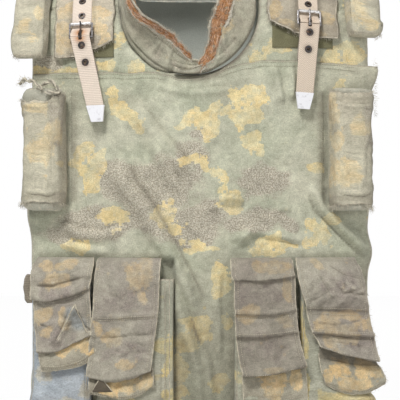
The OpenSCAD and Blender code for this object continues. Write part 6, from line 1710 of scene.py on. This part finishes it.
# For each half: height of the foot's seam above the cloth, width of its hem, and the low and high side of
# the torn edge
LINE_UP, HEM_OUT = (0.0020, -0.0030), (0.0065, 0.0)
TORN = ((-0.0052, 0.0036), (-0.0150, 0.0050))
for side, key in ((-1, "left"), (1, "right")):
    c = int(side > 0)
    m, n = 124, 38
    t = np.linspace(0, 1, m)
    p, up, out = collar_frame(side, t)
    w = band_w(side, t) - 0.0042 * smooth((t - FILL_FROM[c] + 0.03) / 0.06)
    s = run_of(p)
    v = np.linspace(0, 1, n - 3)
    uu, ww = np.meshgrid(s, v, indexing="ij")
    ww = ww * w[:, None]
    torn = 0.0014 * noise(s, 0, 0.012, 190 + side, 3)
    mid = p[:, None] + up[:, None] * (ww + torn[:, None] * v ** 4)[..., None]
    folds = sum(crease(uu, ww, *f) for f in COLLAR_FOLDS[c])
    mid = mid + out[:, None] * (folds + 0.0014 * noise(uu, ww, 0.02, 195 + side, 3))[..., None]
    away, fx, fl = foot_outward(side, t)
    sunk = ((p - skin(fx, fl, 0.0)) * away).sum(-1)
    shown = smooth((t - (0.16 if side < 0 else 0.30)) / 0.12)
    raise_n = (LINE_UP[c] - sunk) * shown
    raised = raise_n[:, None] * (1 - smooth(ww / 0.020)) * (0.75 if side > 0 else 1.0)
    mid = mid + away[:, None] * raised[..., None]
    half = COLLAR_T / 2 * 0.96 * edge_round(m, n - 3, 4, 4) * (1 - 0.16 * bump(v, 0.8, 0.05))
    ring = unit(stack(fx - NECK_X, 0.0, skin(fx, fl)[:, 2] + REST_H - NECK_H), 1e-9)
    skirt = [mid[:, 0] + ring * (HEM_OUT[c] * k * shown)[:, None] - away * (0.0006 * k * shown)[:, None]
             for k in (1.0, 0.6, 0.25)]
    mid = np.concatenate([np.stack(skirt, 1), mid], 1)
    half = np.concatenate([np.tile([0, 0.0008, 0.0016], (m, 1)),
                           np.maximum(half, 0.0022 * edge_round(m, n - 3, 2, 0.01))], 1)
    half[0], half[-1] = 0, 0
    uu = np.concatenate([uu[:, :3], uu], 1)
    ww = np.concatenate([np.tile([[-0.006, -0.0036, -0.0015]], (m, 1)), ww], 1)
    folds = np.concatenate([np.zeros((m, 3)), folds], 1)
    outs = np.broadcast_to(out[:, None], mid.shape).copy()
    outs[:, :3] = away[:, None]
    wear_and_highlight = by_edge(w[:, None] - ww, 0.006) * 0.9 + 0.5 * bump(ww, -0.0045, 0.0016) * (side < 0)
    # Painted shade in fold valleys, in the groove near the band's top and at the collar's foot
    dirt_and_shade = (0.45 * smooth(-folds / 0.0011) + 0.25 * bump(ww, w[:, None] * 0.8, 0.0012)
            + 0.5 * bump(ww, 0.001, 0.0016) * (0.6 if side < 0 else 1))
    collar = pad("collar_pad_" + key, mid, outs, half, stack(uu, ww + 0.7), "front", COLLAR, flip=side < 0,
                 attrs={"wear_and_highlight": wear_and_highlight, "dirt_and_shade": np.clip(dirt_and_shade, 0, 0.7),
                        "tan": (side > 0) * blobs(uu, ww, [(30, 30, 8, 6), (96, 34, 20, 8), (130, 34, 16, 8)]),
                        "brown": 0.45 * blobs(uu, ww, [(46, 10, 26, 7), (110, 16, 20, 8)])})
    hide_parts("collar_" + key)
    row = int(n * 0.8)
    lines = stitches(mid[4:-4, row] + out[4:-4] * 0.0052, out=(0, -1, 0.2))
    lines += stitches(mid[20:-4, 1] + away[20:-4] * 0.0012, out=(0, -1, 0.2))
    lines += stitches(mid[20:-4, 7] + out[20:-4] * 0.0046, out=(0, -1, 0.2))
    tubes("collar_stitches_" + key, lines, SEAM_R, "front", SEAM)

    # Torn edge: the brown filling, a frayed lip of cloth on each side of it and loose fibres
    t = np.linspace(FILL_FROM[c], 0.955, 190)
    p, up, out = collar_frame(side, t)
    w = band_w(side, t)
    s = run_of(p)
    full = smooth(w / 0.030) if side > 0 else smooth(w / 0.012)
    v0, v1 = TORN[c]
    n = 22
    v = np.linspace(0, 1, n)
    wander = 0.0016 * noise(s, 0, 0.016, 200 + side, 3)
    ww = w[:, None] + wander[:, None] + (v0 + (v1 - v0) * v) * (0.35 + 0.65 * full[:, None])
    uu = np.broadcast_to(s[:, None], ww.shape)
    clump = 0.0016 * noise(uu, ww, 0.007, 205 + side, 3)
    on_face_side = 0.0040 * smooth((w[:, None] - ww) / 0.006)
    mid = p[:, None] + up[:, None] * ww[..., None] + out[:, None] * (clump * 0.6 + on_face_side)[..., None]
    half = (0.0030 + 0.0011 * noise(uu, ww, 0.005, 207 + side, 2)) * edge_round(len(t), n, 2, 4)
    # Darker in the hollows between the filling's clumps: painted shade
    fill = pad("collar_wadding_" + key, mid, out[:, None], half,
               stack(uu, ww), "front", FILLING, flip=side < 0, attrs={"dirt_and_shade": 0.6 * smooth(-clump / 0.0010)})
    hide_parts("collar_filling")
    skin_out = mid + out[:, None] * half[..., None]
    rows = [skin_out[:, k] for k in range(2, n - 1, 3)]
    frays("wadding_fibres_" + key, np.concatenate(rows),
          np.concatenate([out * 0.5 + up * f for f in np.linspace(-0.9, 0.9, len(rows))]), "front", RUSTY,
          length=0.0055, radius=LOOSE_R, count=1, seed=210 + side, droop=0.2)
    strands = []
    for k, f in enumerate((0.2, 0.35, 0.5, 0.65, 0.8)):
        j = int(f * n)
        side_way = 0.0018 * noise(s, k, 0.012, 230 + k, 2)
        strands.append(skin_out[4:-4, j] + up[4:-4] * side_way[4:-4, None] + out[4:-4] * 0.0004)
    cord("wadding_strands_" + key, strands, "front", RUSTY, 0.0005, 0.0006, 235 + side)
    for k, (edge_w, lip_half, rise) in enumerate(((v0 - 0.0012, 0.0021 if side > 0 else 0.0017, 0.0064),
                                                  (v1 + 0.0010, 0.0015, 0.0024))):
        lw = w + wander + edge_w * (0.35 + 0.65 * full) + 0.0011 * noise(s, 0, 0.007, 240 + k, 2)
        base = p + up * lw[:, None] + out * (rise + 0.0008 * noise(s, 0, 0.01, 244 + k))[:, None]
        q = np.linspace(-1, 1, 9)
        across = q * lip_half * (1 + 0.4 * noise(s, 0, 0.008, 250 + k)[:, None])
        curled = -0.0015 * q ** 2 + 0.0009 * noise(s[:, None], 0.004 * q, 0.005, 246 + k, 2)
        lip = base[:, None] + up[:, None] * across[..., None]
        lip = lip + out[:, None] * curled[..., None]
        piece = surface(f"collar_lip_{k}_{key}", lip, stack(s[:, None], q * lip_half), "front", LIP,
                        thick=0.0008, attrs={"wear_and_highlight": 0.5 * np.abs(q),
                                             "dirt_and_shade": 0.4 * smooth(noise(s[:, None], 0, 0.006, 255))})
        frays(f"lip_frays_{k}_{key}", np.concatenate([lip[:, 0], lip[:, -1]]),
              np.concatenate([out * 0.5 - up * 0.8, out * 0.5 + up * 0.8]), "front", THREAD, length=0.0048,
              radius=LOOSE_R, count=2, seed=260 + 2 * side + k, droop=0.2)

m, n = 90, 26
t = np.linspace(0, 1, m)
half_x = NECK_R - COLLAR_T / 2
nape_y = math.sqrt(float(bow_y(NECK_X)) ** 2 - (NAPE_H - ROLL_H) ** 2) - COLLAR_T / 2 - 0.001


def back_path(t):
    a = np.radians(mixed(-89.3, 89.3, t))
    return stack(NECK_X + half_x * spow(np.sin(a), 0.62), nape_y * spow(np.cos(a), 0.62))


q = back_path(t)
top_z = ROLL_H + np.sqrt(np.maximum(1e-6, bow_y(q[:, 0]) ** 2 - q[:, 1] ** 2)) - 0.005
d = unit(back_path(np.minimum(1, t + 0.01)) - back_path(np.maximum(0, t - 0.01)))
out = stack(-d[:, 1], d[:, 0], 0.0)
room = FOLD_H - top_z - 0.004
w = mixed(room, COLLAR_W - 0.004, smooth(np.sin(math.pi * t) * 1.5))
s = run_of(q)
uu, vv = np.meshgrid(s, np.linspace(0, 1, n), indexing="ij")
ww = vv * w[:, None]
base = stack(q[:, 0], q[:, 1] + 0.0009, top_z - 0.004 - REST_H)
w = w + 0.004
mid = base[:, None] + np.array([0, 0, 1]) * ww[..., None]
mid = mid + out[:, None] * (0.001 * noise(uu, ww, 0.03, 220, 3))[..., None]
half = COLLAR_T / 2 * 0.96 * edge_round(m, n, 4, 4) * (1 - 0.14 * bump(vv, 0.82, 0.05))
collar = pad("back_collar_pad", mid, out[:, None], half, stack(uu, ww + 0.3),
             "back", COLLAR, attrs={"wear_and_highlight": np.clip((ww - w[:, None] + 0.004) / 0.004, 0, 1) * 0.8,
                                    "cool": 0.7 * smooth((0.012 - ww) / 0.006),
                                    "tan": blobs(uu, ww, [(60, 20, 16, 9), (150, 24, 18, 10)]),
                                    "brown": 0.7 * blobs(uu, ww, [(110, 20, 30, 14)])})
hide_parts("back_collar")
tubes("back_collar_stitches", stitches(mid[4:-4, 21] + out[4:-4] * 0.0050, out=(0, 1, 0)), SEAM_R, "back",
      SEAM)

# --- Side wings and the strips that hold them ---
WING_T, WING_T0, WING_BASE, WING_H, WING_END = 0.006, 0.026, 0.040, 0.190, 0.150
WALL_X, BULGE_R, QUILT = 0.236, 0.240, 0.0475
LINING_T1 = 0.0229
axis_y = math.sqrt((BOW_R - LINING_T1) ** 2 - (WALL_X + 0.002) ** 2) - BOW_R + DEPTH - WING_T / 2 - 0.0006
mid_x = WALL_X + WING_T - BULGE_R
r = BOW_R - WING_T0 - WING_T / 2
xs = np.linspace(WING_END, WALL_X - 0.001, 40)
plan = [stack(xs, BOW_R - DEPTH - np.sqrt(r * r - xs * xs))]
ys = np.linspace(-axis_y + 0.002, axis_y, 50)
plan.append(stack(mid_x + np.sqrt((BULGE_R - WING_T / 2) ** 2 - ys ** 2), ys))
plan = resample([(a, b, 0) for a, b in np.concatenate(plan)], 0.003)[:, :2]
for sg, key in ((-1, "left"), (1, "right")):
    m, n = len(plan), 60
    h = np.linspace(WING_BASE, WING_BASE + WING_H, n)
    d = unit(np.gradient(plan, axis=0))
    out = stack(d[:, 1] * sg, -d[:, 0], 0.0)
    mid = stack(plan[:, None, 0] * sg, plan[:, None, 1], h - REST_H)
    s = run_of(plan)
    uu, hh = np.meshgrid(s, h, indexing="ij")
    quilt = 1 - 0.35 * np.maximum(bump(hh % QUILT, 0.0237, 0.0022), 0)
    half = WING_T / 2 * 0.94 * edge_round(m, n, 2, 3) * quilt
    wing = pad("wing_pad_" + key, mid, out[:, None], half, stack(uu, hh), "wing_" + key, COVER, flip=sg > 0,
               attrs={"wear_and_highlight": 0.8 * (1 - edge_round(m, n, 2, 2)),
                      "tan": blobs(uu, hh, [(40, 90, 14, 20), (110, 180, 20, 14), (130, 80, 14, 22)]),
                      "brown": blobs(uu, hh, [(80, 130, 30, 30)])})
    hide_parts("wing_" + key)
    a_in = arc_at(WING_END)
    for name, t_mid, a0, wide, lo_h, hi_h, body, node, rest in (
            ("wing_hooks_", WING_T0 - 0.0003 - 0.00055, a_in + 0.008, 0.040, WING_BASE + 0.008,
             WING_BASE + WING_H - 0.008, "wing_" + key, "wing_strip_" + key, "wing_pad_" + key),
            ("side_loops_", LINING_T1 + 0.0003 + 0.00055, a_in + 0.004, 0.048, WING_BASE + 0.004,
             WING_BASE + WING_H - 0.004, "front", "side_loop_strips", "front_lining_cloth")):
        ang = np.linspace(a0, a0 + wide, 18) / BOW_R
        h = np.linspace(lo_h, hi_h, 60)[:, None]
        r = BOW_R - t_mid
        p = stack(sg * r * np.sin(ang), BOW_R - DEPTH - r * np.cos(ang), h - REST_H)
        strip = surface(name + key, p, stack(ang * BOW_R, h), body, OLIVE, thick=0.0010)
        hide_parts(node)


# --- Camera, light and floor ---
# One photo pixel in metres, half the photo, the height that it is aimed at and the distance of the eye
SCALE, HALF_PHOTO = 0.00145, 200
AIM_H = 225 * SCALE
EYE = 2.3
cam_data = bpy.data.cameras.new("camera")
cam_data.sensor_width = 36.0
cam_data.angle = 2 * math.atan(HALF_PHOTO * SCALE / EYE)
cam = bpy.data.objects.new("camera", cam_data)
cam.location = (0, -DEPTH - EYE, AIM_H - REST_H)
cam.rotation_euler = (math.pi / 2, 0, 0)
bpy.context.scene.collection.objects.link(cam)
bpy.context.scene.camera = cam


def area(name, at, look, size, watts):
    data = bpy.data.lights.new(name, "AREA")
    data.shape, data.size, data.energy = "DISK", size, watts
    obj = bpy.data.objects.new(name, data)
    obj.location = at
    way = np.asarray(look, float) - at
    obj.rotation_euler = Vector(way).to_track_quat("-Z", "Y").to_euler()
    bpy.context.scene.collection.objects.link(obj)


area("key", (-0.65, -1.7, 1.75), (0, 0, -0.3), 0.7, 60)
area("fill", (1.5, -1.9, 0.2), (0, 0, -0.3), 1.4, 8)
area("rear", (0.4, 2.2, 1.2), (0, 0, -0.3), 1.6, 26)

# The backdrop is white, and lights the vest with this share of its brightness
ROOM_LIGHT = 0.29
world = bpy.data.worlds.new("world")
bpy.context.scene.world = world
world.use_nodes = True
tree = world.node_tree
background = tree.nodes["Background"]
path = tree.nodes.new("ShaderNodeLightPath")
seen = path.outputs["Is Camera Ray"]
for ray in ("Is Glossy Ray", "Is Transmission Ray"):
    most = tree.nodes.new("ShaderNodeMath")
    most.operation = "MAXIMUM"
    tree.links.new(seen, most.inputs[0])
    tree.links.new(path.outputs[ray], most.inputs[1])
    seen = most.outputs[0]
level = tree.nodes.new("ShaderNodeMapRange")
level.inputs[3].default_value, level.inputs[4].default_value = ROOM_LIGHT, 1.0
tree.links.new(seen, level.inputs[0])
tree.links.new(level.outputs[0], background.inputs["Strength"])
background.inputs["Color"].default_value = (1, 1, 1, 1)

floor_shader = Shader("floor_paper", Roughness=0.9)
floor_col = floor_shader.mix(floor_shader.remap(floor_shader.noise(3, 3), 0.4, 0.6), (0.86, 0.86, 0.86),
                             (0.88, 0.88, 0.88))
floor_shader.tree.links.new(floor_col, floor_shader.bsdf.inputs["Base Color"])
glow = floor_shader.put("Emission", {"Color": (1, 1, 1, 1), "Strength": 1.0})
ray = floor_shader.put("LightPath")
both = floor_shader.put("MixShader", {0: floor_shader.math("MULTIPLY", ray.outputs["Is Camera Ray"], 0.97),
                                      1: floor_shader.bsdf.outputs[0], 2: glow.outputs[0]})
floor_shader.tree.links.new(both.outputs[0], floor_shader.tree.nodes["Material Output"].inputs[0])
FLOOR = 3
floor_mesh = bpy.data.meshes.new("floor")
corners = ((-FLOOR, -FLOOR), (FLOOR, -FLOOR), (FLOOR, FLOOR), (-FLOOR, FLOOR))
floor_mesh.from_pydata([(a, b, -REST_H - 0.001) for a, b in corners], [], [[0, 1, 2, 3]])
floor_mesh.uv_layers.new(name="metres")
floor_mesh.materials.append(floor_shader.mat)
floor = bpy.data.objects.new("floor", floor_mesh)
bpy.context.scene.collection.objects.link(floor)
bpy.context.scene.view_settings.view_transform = "Standard"
